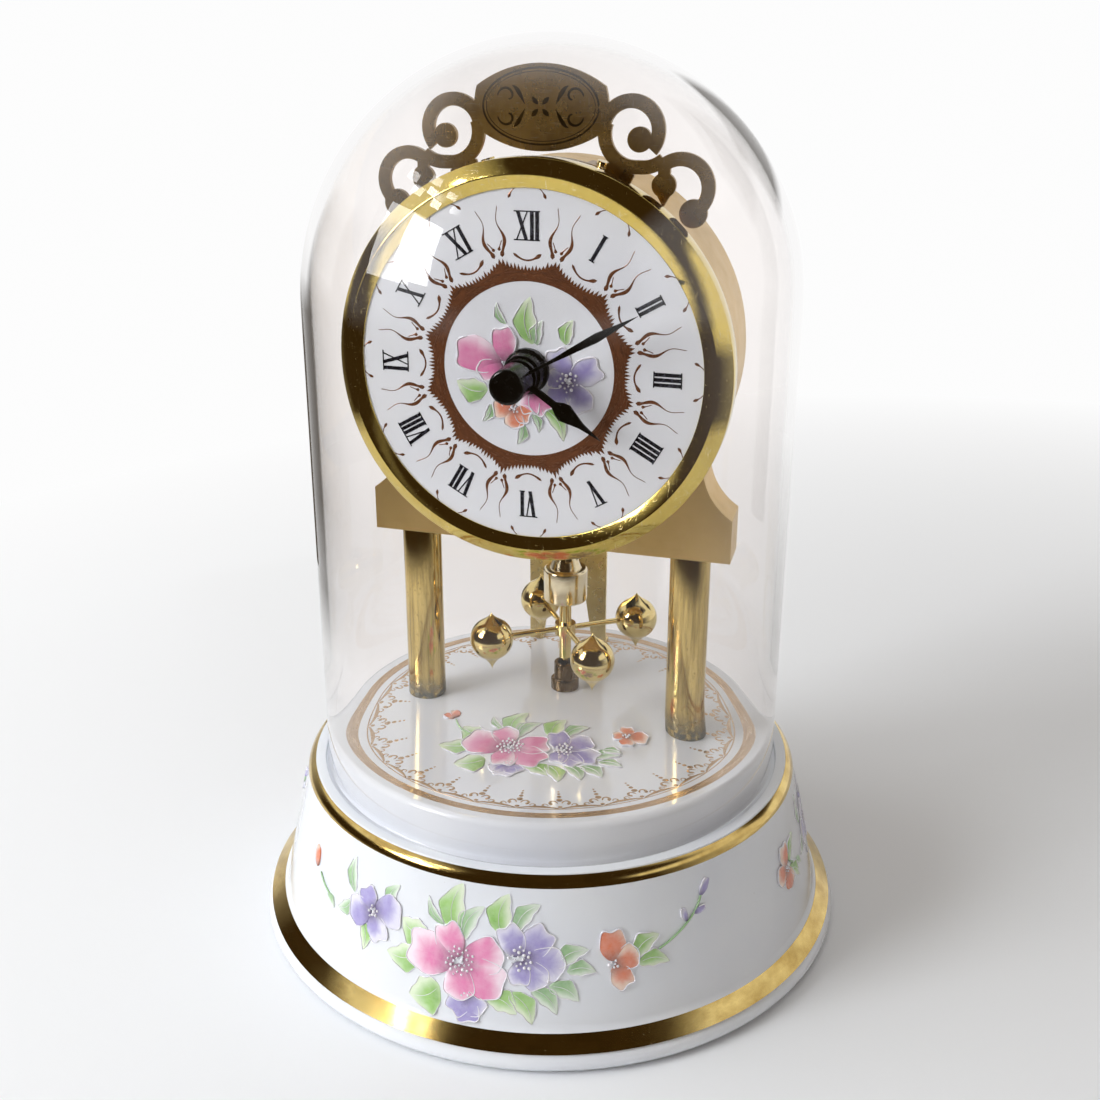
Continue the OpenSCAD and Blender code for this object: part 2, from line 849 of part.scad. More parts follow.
module hand_cap() {
    cap_front = minute_hand_front + cap_len;
    bore_front = minute_hand_front + arbor_grip + fit_gap;
    color("black") dial_revolve() polygon([
        [arbor_r + fit_gap, minute_hand_front],
        [cap_r, minute_hand_front],
        [cap_r, cap_front - cap_round],
        [cap_r - cap_round, cap_front],
        [0, cap_front],
        [0, bore_front],
        [arbor_r + fit_gap, bore_front]]);
}

// Arbor with its pinion, from the rear post to the cap
module minute_arbor() {
    color("gainsboro") {
        dial_rod(0, 0, arbor_r, arbor_rear, minute_hand_front + arbor_grip);
        dial_plate(pinion_rear, pinion_front) polygon(gear_outline(pinion_teeth, motion_dir));
    }
}

// Hour wheel with its pipe round the minute arbor
module hour_wheel() {
    color("gold") {
        dial_plate(hour_wheel_rear, hour_wheel_front) difference() {
            polygon(gear_outline(hour_teeth, hour_phase));
            circle(r = arbor_r + running_gap);
        }
        dial_plate(hour_wheel_rear, pipe_front) difference() {
            circle(r = pipe_r);
            circle(r = arbor_r + running_gap);
        }
    }
}

// Wheel driven by the minute pinion, with the leaves that drive the hour wheel
module motion_wheel() {
    color("gold") difference() {
        union() {
            dial_plate(motion_wheel_rear, motion_wheel_front) translate([motion_x, motion_z])
                polygon(gear_outline(wheel_teeth, wheel_phase));
            dial_plate(motion_wheel_rear, leaf_front) translate([motion_x, motion_z])
                polygon(gear_outline(leaf_teeth, motion_dir + 180));
        }
        dial_rod(motion_x, motion_z, stud_r + running_gap, motion_wheel_rear - cut, leaf_front + cut);
    }
}

module motion_stud() {
    head_front = motion_wheel_rear - slip_gap;
    color("silver") {
        dial_rod(motion_x, motion_z, stud_r, head_front - cut, inside_front + stud_deep);
        dial_rod(motion_x, motion_z, stud_head_r, head_front - stud_head_t, head_front);
    }
}

// Setting shaft with the wheel that turns the hands
module setting_wheel() {
    shaft_rear = -case_back - knob_gap - knob_grip;
    color("gainsboro") {
        dial_plate(motion_wheel_rear - slip_gap, motion_wheel_front + slip_gap)
            translate([setting_x, setting_z]) polygon(gear_outline(setting_teeth, setting_phase));
        dial_rod(setting_x, setting_z, shaft_r, shaft_rear, motion_wheel_front);
        dial_rod(setting_x, setting_z, pivot_r, motion_wheel_rear,
            inside_front + stud_deep - running_gap);
    }
}

module setting_knob() {
    knob_front = -case_back - knob_gap;
    color("dimgray") difference() {
        dial_plate(knob_front - knob_t, knob_front) translate([setting_x, setting_z]) {
            circle(r = knob_r);
            for (i = [1:knob_ribs]) rotate(i * 360 / knob_ribs) translate([knob_r, 0])
                circle(r = knob_rib_r, $fn = 16);
        }
        dial_rod(setting_x, setting_z, shaft_r + fit_gap, knob_front - knob_grip - fit_gap,
            knob_front + cut);
    }
}

module housing_shell() {
    difference() {
        dial_plate(-housing_back, housing_front) square(2 * housing_half, center = true);
        dial_plate(-inside_back, inside_front) square(2 * inside_half, center = true);
    }
}

// Bore for the spindle, and above it a pocket for the magnet, open to the rear
module spindle_bearing() {
    pocket_r = magnet_r + magnet_gap;
    pocket_high = housing_low + housing_wall + block_tall + cut;
    upright_pin(spindle_neck_r + running_gap, housing_low - cut, magnet_low + cut);
    upright_pin(pocket_r, magnet_low, pocket_high);
    translate([-pocket_r, 0, magnet_low])
        cube([2 * pocket_r, housing_back, pocket_high - magnet_low]);
}

// Closed plastic box of the movement, with its threaded bush, posts and bearings
module movement_housing() {
    color("black") difference() {
        union() {
            housing_shell();
            dial_rod(0, 0, bush_r, inside_front, bush_front);
            dial_rod(0, 0, post_r, -inside_back - cut, post_front);
            translate([-block_half, housing_back - block_deep, housing_low + housing_wall - cut])
                cube([2 * block_half, block_deep - cut, block_tall]);
        }
        dial_rod(0, 0, pipe_r + running_gap, inside_front - cut, bush_front + cut);
        dial_rod(0, 0, arbor_r + running_gap, post_front - post_bore_deep, post_front + cut);
        dial_rod(motion_x, motion_z, stud_r + fit_gap, inside_front - cut, inside_front + stud_deep);
        dial_rod(setting_x, setting_z, pivot_r + running_gap, inside_front - cut,
            inside_front + stud_deep);
        dial_rod(setting_x, setting_z, shaft_r + running_gap, -housing_back - cut, cut - inside_back);
        for (side = [-1, 1]) dial_rod(support_x, side * box_screw_spread, box_screw_r + fit_gap,
            -housing_back - cut, -box_screw_tip);
        at_pendulum() spindle_bearing();
    }
}

// Circuit board against the housing's rear wall
module circuit_board() {
    color("seagreen") translate([-board_w / 2, inside_back - board_t, dial_h + board_low])
        cube([board_w, board_t, board_tall]);
}

// Coil between two flanges that stand on the board
module motor_coil() {
    coil_y = inside_back - board_t - coil_flange / 2;
    color("orangered") translate([0, coil_y, dial_h + coil_up]) rotate([0, 90, 0]) {
        translate([0, 0, -coil_len / 2]) cylinder(r = coil_r, h = coil_len);
        for (side = [-1, 1]) translate([0, 0, side * coil_len / 2])
            cube([coil_flange, coil_flange, board_t], center = true);
    }
}

module quartz_crystal() {
    color("silver")
        translate([-crystal_len / 2, inside_back - board_t - crystal_r - fit_gap, dial_h + crystal_up])
            rotate([0, 90, 0]) cylinder(r = crystal_r, h = crystal_len);
}

// Battery box, open at the back, with a solid block at its foot
module battery_box() {
    bay_half = box_half - box_wall;
    deep = support_back - case_back;
    color("black") difference() {
        translate([support_x - box_half, case_back, box_low])
            cube([2 * box_half, deep, box_high - box_low]);
        translate([support_x - bay_half, case_back + box_wall, bay_low])
            cube([2 * bay_half, deep, bay_high - bay_low]);
        at_support_screws() upright_pin(support_screw_r + fit_gap, 0, support_screw_len + slip_gap);
        for (side = [-1, 1]) {
            dial_rod(support_x, side * box_screw_spread, box_screw_r + slip_gap,
                -case_back - 2 * box_wall, cut - case_back);
            dial_rod(support_x, side * box_screw_spread, box_screw_head_r + slip_gap,
                -case_back - 2 * box_wall, box_screw_head_t - box_wall - case_back);
        }
    }
}

module battery_box_screws() {
    head_rear = -case_back - box_wall;
    color("silver") for (side = [-1, 1]) {
        dial_rod(support_x, side * box_screw_spread, box_screw_head_r, head_rear,
            head_rear + box_screw_head_t);
        dial_rod(support_x, side * box_screw_spread, box_screw_r, head_rear + cut,
            -box_screw_tip - fit_gap);
    }
}

module battery() {
    battery_top = battery_z + battery_len;
    color("steelblue") translate([support_x, battery_y, 0]) {
        upright_pin(battery_r, battery_z, battery_top);
        upright_pin(tip_r, battery_top - cut, battery_top + tip_t);
    }
}

// Contact plates at both ends of the bay, the lower one with a raised bump
module battery_contacts() {
    color("silver") translate([support_x, battery_y, 0]) {
        for (z = [bay_low, bay_high - contact_t])
            translate([-contact_w / 2, -contact_w / 2, z]) cube([contact_w, contact_w, contact_t]);
        upright_pin(contact_bump_r, bay_low, battery_z);
    }
}

// Front outline of the rear support, with the arch cut out of its foot
module support_outline() {
    difference() {
        translate([support_x - support_half, platform_h]) square([support_w, support_top - platform_h]);
        translate([support_x, platform_h]) polygon(concat(
            [[arch_half, -cut], [arch_half, 0]],
            arc(0, arch_h - arch_top_r, arch_top_r, 0, 180, 12),
            [[-arch_half, 0], [-arch_half, -cut]]));
        for (side = [-1, 1])
            translate([support_x + side * support_screw_x, support_top - support_screw_drop])
                circle(r = support_screw_r + slip_gap);
    }
}

module rear_support() {
    leg_w = support_half - arch_half;
    color("khaki") difference() {
        union() {
            upright_plate(-support_back - support_t, -support_back) support_outline();
            for (x = [support_x - support_half, support_x + arch_half])
                translate([x, support_back, platform_h]) cube([leg_w, foot_deep, support_t]);
        }
        at_foot_bolts() upright_pin(foot_bolt_r + slip_gap, platform_h - cut,
            platform_h + support_t + cut);
    }
}

module support_screws() {
    color("goldenrod") at_support_screws() {
        upright_pin(support_screw_head_r, -support_screw_head_t, 0);
        upright_pin(support_screw_r, -cut, support_screw_len);
    }
}

module support_foot_bolts() {
    head_bottom = platform_h + support_t;
    color("goldenrod") at_foot_bolts() {
        upright_pin(foot_head_r, head_bottom, head_bottom + foot_head_t);
        upright_pin(foot_bolt_r, underside - foot_nut_t - cut, head_bottom + cut);
    }
}

module support_foot_nuts() {
    color("silver") at_foot_bolts()
        nut(foot_nut_r, foot_bolt_r + fit_gap, underside - foot_nut_t, foot_nut_t);
}

// Cup on the platform that steadies the pendulum's foot
module guide_cup() {
    cup_top = platform_h + cup_tall;
    color("saddlebrown") at_pendulum() difference() {
        union() {
            upright_pin(cup_r, platform_h, platform_h + cup_step);
            upright_pin(cup_upper_r, platform_h, cup_top);
            upright_pin(cup_stud_r, underside - cup_nut_t - cut, platform_h + cut);
        }
        upright_pin(cup_bore_r, cup_top - cup_bore_deep, cup_top + cut);
    }
}

module guide_cup_nut() {
    color("silver") at_pendulum()
        nut(cup_nut_r, cup_stud_r + fit_gap, underside - cup_nut_t, cup_nut_t);
}

// Spindle that hangs from the housing, with the cross pin that carries the head
module pendulum_spindle() {
    color("silver") at_pendulum() {
        upright_pin(spindle_r, spindle_low, spindle_step);
        upright_pin(spindle_neck_r, spindle_step - cut, magnet_low);
        translate([-cross_pin_len / 2, 0, cross_pin_z]) rotate([0, 90, 0])
            cylinder(r = cross_pin_r, h = cross_pin_len);
    }
}

module drive_magnet() {
    color("dimgray") at_pendulum() upright_pin(magnet_r, magnet_low + fit_gap, magnet_low + magnet_t);
}

// Head with a notched crown that hangs on the cross pin
module pendulum_head() {
    crown_top = head_high + crown_tall;
    color("goldenrod") at_pendulum() difference() {
        rotate_extrude() polygon(concat(
            [[0, head_low]],
            arc(head_r - head_round, head_low + head_round, head_round, -90, 0, 4),
            arc(head_r - head_round, head_high - head_round, head_round, 0, 90, 4),
            [[crown_low_r, head_high], [crown_top_r, crown_top], [0, crown_top]]));
        upright_pin(crown_bore_r, head_high + slot_deep, crown_top + cut);
        for (i = [1:crown_slots]) rotate(i * 180 / crown_slots)
            translate([-head_r, -slot_w / 2, crown_top - slot_deep]) cube([head_d, slot_w, slot_deep + cut]);
        upright_pin(rod_neck_r + fit_gap, head_low - cut, head_low + rod_neck_len + fit_gap);
    }
}

module pendulum_rod() {
    color("goldenrod") at_pendulum() {
        upright_pin(pendulum_rod_r, rod_low, head_low);
        upright_pin(rod_neck_r, head_low - cut, head_low + rod_neck_len);
        upright_pin(pin_r, pin_low, rod_low + cut);
    }
}

module pendulum_arms() {
    color("goldenrod") difference() {
        union() {
            at_arms() rotate([0, 90, 0])
                upright_pin(arm_r, (hub_r + pendulum_rod_r) / 2, ball_ring_r - ball_r + arm_deep);
            at_pendulum() upright_pin(hub_r, ball_h - hub_tall / 2, ball_h + hub_tall / 2);
        }
        at_pendulum() upright_pin(pendulum_rod_r + fit_gap, ball_h - hub_tall, ball_h + hub_tall);
    }
}

// Balls with a pointed cap above and a longer point below, bored for their arms
module pendulum_balls() {
    cap_x = ball_r * cos(ball_cap_angle);
    cap_z = ball_r * sin(ball_cap_angle);
    color("gold") difference() {
        at_arms() translate([ball_ring_r, 0, 0]) rotate_extrude() polygon(concat(
            [[0, -ball_r - ball_down], [cap_x / 3, -ball_r - ball_down / 3]],
            arc(0, 0, ball_r, -ball_cap_angle, ball_cap_angle, 36),
            [[cap_x / 2, cap_z + ball_up / 3], [0, ball_r + ball_up]]));
        at_arms() rotate([0, 90, 0])
            upright_pin(arm_r + fit_gap, 0, ball_ring_r - ball_r + arm_deep + fit_gap);
    }
}

porcelain_base();
felt_ring();
glass_dome();
left_pillar();
right_pillar();
tie_rods();
tie_rod_nuts();
tie_rod_washers();
movement_bracket();
case_drum();
case_bolts();
case_nuts();
bezel();
backing_plate();
dial();
dial_nut();
crest_plate();
crest_screws();
hour_hand();
minute_hand();
hand_cap();
minute_arbor();
hour_wheel();
motion_wheel();
motion_stud();
setting_wheel();
setting_knob();
movement_housing();
circuit_board();
motor_coil();
quartz_crystal();
battery_box();
battery_box_screws();
battery();
battery_contacts();
rear_support();
support_screws();
support_foot_bolts();
support_foot_nuts();
guide_cup();
guide_cup_nut();
pendulum_spindle();
drive_magnet();
pendulum_head();
pendulum_rod();
pendulum_arms();
pendulum_balls();
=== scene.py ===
"""The clock with its rotating pendulum, dressed: smooth turned shapes, painted porcelain, gilding,
engraving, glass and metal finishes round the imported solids. Lengths are in millimetres until a mesh is
made, and functions take their angles in degrees, all but on_skirt."""

import json
import math

import bmesh
import bpy
import numpy as np
from mathutils import Matrix, Vector


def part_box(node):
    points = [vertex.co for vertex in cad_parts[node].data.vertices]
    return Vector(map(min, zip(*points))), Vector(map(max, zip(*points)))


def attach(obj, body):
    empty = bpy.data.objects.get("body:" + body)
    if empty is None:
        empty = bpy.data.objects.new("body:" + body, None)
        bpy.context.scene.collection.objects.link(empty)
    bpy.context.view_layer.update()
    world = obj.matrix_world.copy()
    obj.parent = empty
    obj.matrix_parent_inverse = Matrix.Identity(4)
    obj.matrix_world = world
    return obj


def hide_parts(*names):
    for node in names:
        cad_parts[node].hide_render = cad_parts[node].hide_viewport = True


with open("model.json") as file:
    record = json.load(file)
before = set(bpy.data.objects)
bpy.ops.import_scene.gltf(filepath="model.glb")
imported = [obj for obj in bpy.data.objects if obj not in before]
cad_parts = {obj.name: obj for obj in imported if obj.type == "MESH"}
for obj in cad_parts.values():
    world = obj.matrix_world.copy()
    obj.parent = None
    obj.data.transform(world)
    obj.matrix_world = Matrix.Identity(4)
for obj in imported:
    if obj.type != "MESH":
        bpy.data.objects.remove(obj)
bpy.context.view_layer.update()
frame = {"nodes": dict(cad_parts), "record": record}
scene = bpy.context.scene
SEED = 11
draw = np.random.default_rng(SEED)

# Sizes shared by several pieces

MM = 0.001  # metres in a millimetre
TURN = 2 * np.pi  # radians in a full turn
SINK = 0.05  # how far a drawing reaches into the surface below it
RISE = 0.05  # how far a printed line stands up from it
SAME_POINT = 2e-6  # metres within which two corners are one
FLAT_ANGLE = 0.6  # two faces that meet below this angle become one
SHARP_ANGLE = 38  # two faces that meet above this angle have a sharp edge
PAINT_SHARP_ANGLE = 80  # the same for the soft mounds of paint
HOUR_ANGLE = 30  # from one hour of the dial to the next
FINE_STEPS = 160  # steps to a full turn where a piece gives no number
FINEST_STEPS = 256  # steps to a full turn of the widest pieces
WHITE = (1, 1, 1, 1)


def middle_of(node):
    """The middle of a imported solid's box, in millimetres."""
    low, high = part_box(node)
    return np.array((low + high) / 2) / MM


def top_of(node):
    """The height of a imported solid's top, in millimetres."""
    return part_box(node)[1].z / MM


dial_height = middle_of("dial")[2]
dial_face = -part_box("dial")[0].y / MM
platform = top_of("porcelain_base")
platform_r = 41.3
groove_floor = 32.5
pendulum_y = middle_of("pendulum_rod")[1]
pillar_x = middle_of("right_pillar")[0]
pillar_y = middle_of("right_pillar")[1]
plaque_face = 7.2

# Shapes: a shape is a table of points and a table of faces, whose triangles have -1 as the last corner


def grid_shape(points, closed=False):
    """Faces between neighbouring rows of a grid of points, each a ring, and from the last row to the first
    where the grid is closed. A row that has shrunk to one point becomes a pole with triangles round it."""
    rows, columns = points.shape[:2]
    index = np.arange(rows * columns).reshape(rows, columns)
    poles = np.ptp(points, axis=1).max(axis=1) < 1e-9
    index[poles] = index[poles, :1]
    if closed:
        index = np.vstack([index, index[:1]])
    index = np.hstack([index, index[:, :1]])
    corners = np.stack([index[:-1, :-1], index[:-1, 1:], index[1:, 1:], index[1:, :-1]], -1)
    corners = corners.reshape(-1, 4)
    first_pole = corners[:, 0] == corners[:, 1]
    last_pole = corners[:, 2] == corners[:, 3]
    none = np.full((len(corners), 1), -1)
    at_first = np.hstack([corners[:, [0, 2, 3]], none])[first_pole]
    at_last = np.hstack([corners[:, [0, 1, 2]], none])[last_pole]
    faces = np.vstack([corners[~(first_pole | last_pole)], at_first, at_last])
    used, faces = np.unique(faces, return_inverse=True)
    faces = faces.reshape(-1, 4) - int(used[0] < 0)
    return points.reshape(-1, 3)[used[used >= 0]], faces


def join(shapes):
    """Several shapes as one: the points in one table, and each shape's corner numbers moved up to match."""
    starts = np.cumsum([0] + [len(shape[0]) for shape in shapes[:-1]])
    points = np.concatenate([shape[0] for shape in shapes])
    faces = np.concatenate([np.where(shape[1] < 0, -1, shape[1] + start)
                            for shape, start in zip(shapes, starts)])
    return points, faces


def arc(centre, radius, start, end, steps=10):
    """Points at an equal turn on an arc: centre + radius (cos, sin), from a start to an end angle."""
    turn = np.radians(np.linspace(start, end, steps + 1))
    return np.stack([centre[0] + radius * np.cos(turn), centre[1] + radius * np.sin(turn)], -1)


def softened(profile, radius, closed=True):
    """A profile with every corner turned into a small curve, which leaves and meets the sides at the radius,
    or at 0.45 of a shorter side: (1-t)^2 before + 2t(1-t) corner + t^2 after."""
    corner = np.asarray(profile, float)
    before, after = np.roll(corner, 1, 0), np.roll(corner, -1, 0)
    reach_in = np.linalg.norm(before - corner, axis=1)[:, None]
    reach_out = np.linalg.norm(after - corner, axis=1)[:, None]
    start = corner + (before - corner) * np.minimum(radius, 0.45 * reach_in) / reach_in
    end = corner + (after - corner) * np.minimum(radius, 0.45 * reach_out) / reach_out
    t = np.linspace(0, 1, 4)[None, :, None]
    curved = (1 - t) ** 2 * start[:, None] + 2 * t * (1 - t) * corner[:, None] + t ** 2 * end[:, None]
    if closed:
        return curved.reshape(-1, 2)
    return np.vstack([corner[:1], curved[1:-1].reshape(-1, 2), corner[-1:]])


def turned(profile, centre=(0, 0), steps=FINE_STEPS):
    """A profile of (radius, height) rows turned about an upright line: x = r sin t, y = -r cos t."""
    profile = np.asarray(profile, float)
    turn = np.linspace(0, TURN, steps, endpoint=False)
    across = centre[0] + profile[:, :1] * np.sin(turn)
    along = centre[1] - profile[:, :1] * np.cos(turn)
    up = np.broadcast_to(profile[:, 1:], across.shape)
    return grid_shape(np.stack([across, along, up], -1), profile[0, 0] > 0)


def turned_forward(profile, steps):
    """A profile of (radius, distance forward) rows turned about the line through the dial's centre:
    x = r sin t, z = centre + r cos t."""
    profile = np.asarray(profile, float)
    turn = np.linspace(0, TURN, steps, endpoint=False)
    across = profile[:, :1] * np.sin(turn)
    up = dial_height + profile[:, :1] * np.cos(turn)
    forward = np.broadcast_to(-profile[:, 1:], across.shape)
    return grid_shape(np.stack([across, forward, up], -1), profile[0, 0] > 0)


def on_dial(across, up, lift):
    """A flat drawing laid on the dial: right and up from its centre, lifted forwards."""
    return np.stack([across, -(dial_face + lift), dial_height + up], -1)


def on_disc(across, back, lift):
    """A flat drawing laid on the platform: right and back from its centre, lifted upwards."""
    return np.stack([across, back, platform + lift], -1)


skirt_profile = np.array([(54.1, 6.3), (53.3, 7.69), (48.0, 30.6), (47.7, 31.9)])
skirt_mean_r = 51.0
skirt_foot, skirt_top = skirt_profile[1], skirt_profile[2]
skirt_slope = math.atan2(skirt_foot[0] - skirt_top[0], skirt_top[1] - skirt_foot[1])


def on_skirt(turn, around, up, lift):
    """A flat drawing wrapped on the skirt of the base, which starts at a turn in radians from the front:
    the way around is an arc of the mean radius, and the lift is along the skirt's normal."""
    angle = turn + around / skirt_mean_r
    radius = np.interp(up, skirt_profile[:, 1], skirt_profile[:, 0]) + lift * math.cos(skirt_slope)
    height = up + lift * math.sin(skirt_slope)
    return np.stack([radius * np.sin(angle), -radius * np.cos(angle), height], -1)


def on_plaque(across, up, lift):
    """A flat drawing laid on the crest plate: right of the middle and up from the table, lifted forwards."""
    return np.stack([across, -(plaque_face + lift), up], -1)


def polar(angle, radius):
    """Flat places at a clockwise angle in degrees from the top, and a radius."""
    turn = np.radians(angle)
    return np.stack([radius * np.sin(turn), radius * np.cos(turn)], -1)


def stroke(path, half_width, place, lift=0.0, rise=RISE):
    """A drawn line with a low round back: the path moved across by w cos t and lifted by h sin t, where both
    shrink to nothing at its two ends."""
    path = np.asarray(path, float)
    along = np.gradient(path, axis=0)
    along /= np.linalg.norm(along, axis=1, keepdims=True)
    width = np.broadcast_to(half_width, len(path)).copy()
    width[[0, -1]] = 0
    sides = 6
    turn = np.linspace(0, TURN, sides, endpoint=False)
    share = np.sqrt(width / width.max())[:, None]
    across = path[:, :1] - along[:, 1:] * width[:, None] * np.cos(turn)
    up = path[:, 1:] + along[:, :1] * width[:, None] * np.cos(turn)
    height = lift + share * np.where(np.sin(turn) > 0, rise, SINK + lift) * np.sin(turn)
    return grid_shape(place(across, up, height))


def mound(outline, heart, place, lift=0.0, rise=RISE, shares=(0, 0.3, 0.55, 0.75, 0.9, 1)):
    """A low closed swelling over a flat outline: rings of the outline shrink to the heart at the top, where
    the height is rise times the root of 1 - share^3, and again underneath, sunk into the glaze."""
    top = np.array(shares, float)
    share = np.concatenate([top, top[::-1]])[:, None, None]
    flat = np.asarray(heart) + share * (np.asarray(outline) - np.asarray(heart))
    height = np.concatenate([lift + rise * np.sqrt(1 - top ** 3), np.full(len(top), -SINK)])
    height = np.broadcast_to(height[:, None], flat.shape[:2])
    return grid_shape(place(flat[..., 0], flat[..., 1], height)), flat


def bar(low_left, low_right, high_left, high_right, place, lift):
    """A flat bar of four corners, as a closed box that stands on the surface."""
    corners = np.array([low_left, low_right, high_right, high_left], float)
    flat = np.vstack([corners, corners])
    height = np.repeat([-SINK, lift + RISE], 4)
    sides = [(step, (step + 1) % 4, (step + 1) % 4 + 4, step + 4) for step in range(4)]
    faces = np.array([(3, 2, 1, 0), (4, 5, 6, 7)] + sides)
    return place(flat[:, 0], flat[:, 1], height), faces


# Pieces


def mesh_of(name, shape, sharp, paint):
    """A mesh from a shape in millimetres, facing outwards, smooth where neighbours meet flatter than an
    angle, with a colour at each point where it is painted."""
    points, faces = shape
    triangle = faces[:, 3] < 0
    rows = faces[~triangle].tolist() + faces[triangle][:, :3].tolist()
    mesh = bpy.data.meshes.new(name)
    mesh.from_pydata((points * MM).tolist(), [], rows)
    if paint is not None:
        colour = mesh.color_attributes.new("paint", "FLOAT_COLOR", "POINT")
        colour.data.foreach_set("color", np.hstack([paint, np.ones((len(paint), 1))]).ravel())
    solid = bmesh.new()
    solid.from_mesh(mesh)
    bmesh.ops.recalc_face_normals(solid, faces=solid.faces)
    solid.to_mesh(mesh)
    solid.free()
    mesh.shade_smooth()
    mesh.set_sharp_from_angle(angle=math.radians(sharp))
    return mesh


def add_piece(name, mesh, body, finish, stands_for):
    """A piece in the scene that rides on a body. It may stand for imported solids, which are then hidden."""
    piece = bpy.data.objects.new(name, mesh)
    scene.collection.objects.link(piece)
    mesh.materials.clear()
    mesh.materials.append(finish)
    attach(piece, body)
    if stands_for:
        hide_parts(*stands_for)
    return piece


def make(name, shapes, body, finish, stands_for=(), sharp=SHARP_ANGLE, paint=None):
    """Shapes joined into one piece."""
    add_piece(name, mesh_of(name, join(shapes), sharp, paint), body, finish, stands_for)


def eased(node, finish, width):
    """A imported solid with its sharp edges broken: a merged copy of its mesh, whose flat faces are whole
    again, with a bevel of a width."""
    source = frame["nodes"][node].data
    solid = bmesh.new()
    solid.from_mesh(source)
    bmesh.ops.remove_doubles(solid, verts=solid.verts, dist=SAME_POINT)
    bmesh.ops.dissolve_limit(solid, angle_limit=math.radians(FLAT_ANGLE), verts=solid.verts,
                             edges=solid.edges)
    bmesh.ops.recalc_face_normals(solid, faces=solid.faces)
    name = node + "_eased"
    mesh = bpy.data.meshes.new(name)
    solid.to_mesh(mesh)
    solid.free()
    mesh.shade_smooth()
    mesh.set_sharp_from_angle(angle=math.radians(SHARP_ANGLE))
    piece = add_piece(name, mesh, body_of_node[node], finish, (node,))
    bevel = piece.modifiers.new("broken edges", "BEVEL")
    bevel.width = width * MM
    bevel.segments = 2
    bevel.limit_method = "ANGLE"
    bevel.angle_limit = math.radians(SHARP_ANGLE)
    bevel.use_clamp_overlap = True
    bevel.harden_normals = False


bodies = frame["record"]["behaviour"]["bodies"]
body_of_node = {node: body for body, nodes in bodies.items() for node in nodes}

# Colours and shader nodes


def rgb(red, green, blue):
    """A colour as it looks in a picture, 0 to 255, as the linear values that a shader takes."""
    return tuple((level / 255) ** 2.2 for level in (red, green, blue)) + (1,)


def node(tree, kind, inputs=None, **settings):
    """Adds a shader node, with its settings, and sets or links each of its inputs."""
    made = tree.nodes.new("ShaderNode" + kind)
    for key, value in settings.items():
        setattr(made, key, value)
    for key, value in (inputs or {}).items():
        if isinstance(value, bpy.types.NodeSocket):
            tree.links.new(value, made.inputs[key])
        else:
            made.inputs[key].default_value = value
    return made


def maths(tree, operation, first, second=0.0):
    """One operation on two values."""
    return node(tree, "Math", {0: first, 1: second}, operation=operation).outputs[0]


def times(tree, first, second):
    """The product of two values."""
    return maths(tree, "MULTIPLY", first, second)


def plus(tree, first, second):
    """The sum of two values."""
    return maths(tree, "ADD", first, second)


def mixed(tree, share, first, second):
    """Two colours mixed by a share."""
    return node(tree, "Mix", {0: share, 6: first, 7: second}, data_type="RGBA").outputs[2]


def ranged(tree, value, low, high, new_low=0.0, new_high=1.0):
    """A value stretched from one range to another, and held inside it."""
    inputs = {"Value": value, "From Min": low, "From Max": high, "To Min": new_low, "To Max": new_high}
    return node(tree, "MapRange", inputs).outputs[0]


def between(tree, share, low, high):
    """The value that lies between a low and a high by a share."""
    return ranged(tree, share, 0.0, 1.0, low, high)


def parts_of(tree, vector):
    """The three parts of a vector."""
    return node(tree, "SeparateXYZ", {0: vector}).outputs


def length_of(tree, vector):
    """The length of a vector."""
    return node(tree, "VectorMath", {0: vector}, operation="LENGTH").outputs["Value"]


def kind_of_ray(tree, *names):
    """1 for rays of any of the named kinds."""
    rays = node(tree, "LightPath").outputs
    found = rays[names[0]]
    for name in names[1:]:
        found = maths(tree, "MAXIMUM", found, rays[name])
    return found


def place_of(tree, stretch=(1, 1, 1)):
    """The piece's own coordinates, stretched along each axis."""
    spot = node(tree, "TexCoord").outputs["Object"]
    return node(tree, "Mapping", {"Vector": spot, "Scale": stretch}).outputs[0]


def lumps_of(size):
    """The scale at which the lumps of a pattern are about a size in millimetres."""
    return 1 / (size * MM)


def noise_at(tree, where, scale, detail, roughness=0.5, distortion=0.0):
    """Cloudy noise at a scale."""
    inputs = {"Vector": where, "Scale": scale, "Detail": detail, "Roughness": roughness,
              "Distortion": distortion}
    return node(tree, "TexNoise", inputs).outputs["Fac"]


def noise(tree, where, size, detail=4.0, roughness=0.55, distortion=0.0):
    """Cloudy noise whose lumps are about a size in millimetres."""
    return noise_at(tree, where, lumps_of(size), detail, roughness, distortion)


def clouds(tree, size, detail, low, high, new_low=0.0, new_high=1.0):
    """Noise in the piece's own coordinates, stretched from a low and a high to a new range."""
    return ranged(tree, noise(tree, place_of(tree), size, detail), low, high, new_low, new_high)


def round_the(tree, forward, around, across):
    """Coordinates for marks that run round a turned piece: the direction from its axis, stretched by a
    number, and the distances from and along the axis, stretched by a number to the millimetre."""
    spot = node(tree, "TexCoord").outputs["Object"]
    if forward:
        spot = node(tree, "Mapping", {"Vector": spot, "Location": (0, 0, -dial_height * MM)}).outputs[0]
    part = parts_of(tree, spot)
    first, second, along = (part[0], part[2], part[1]) if forward else (part[0], part[1], part[2])
    angle = maths(tree, "ARCTAN2", first, second)
    flat = node(tree, "CombineXYZ", {0: first, 1: second}).outputs[0]
    depth = times(tree, plus(tree, length_of(tree, flat), along), across / MM)
    return node(tree, "CombineXYZ", {0: times(tree, maths(tree, "COSINE", angle), around),
                                     1: times(tree, maths(tree, "SINE", angle), around),
                                     2: depth}).outputs[0]


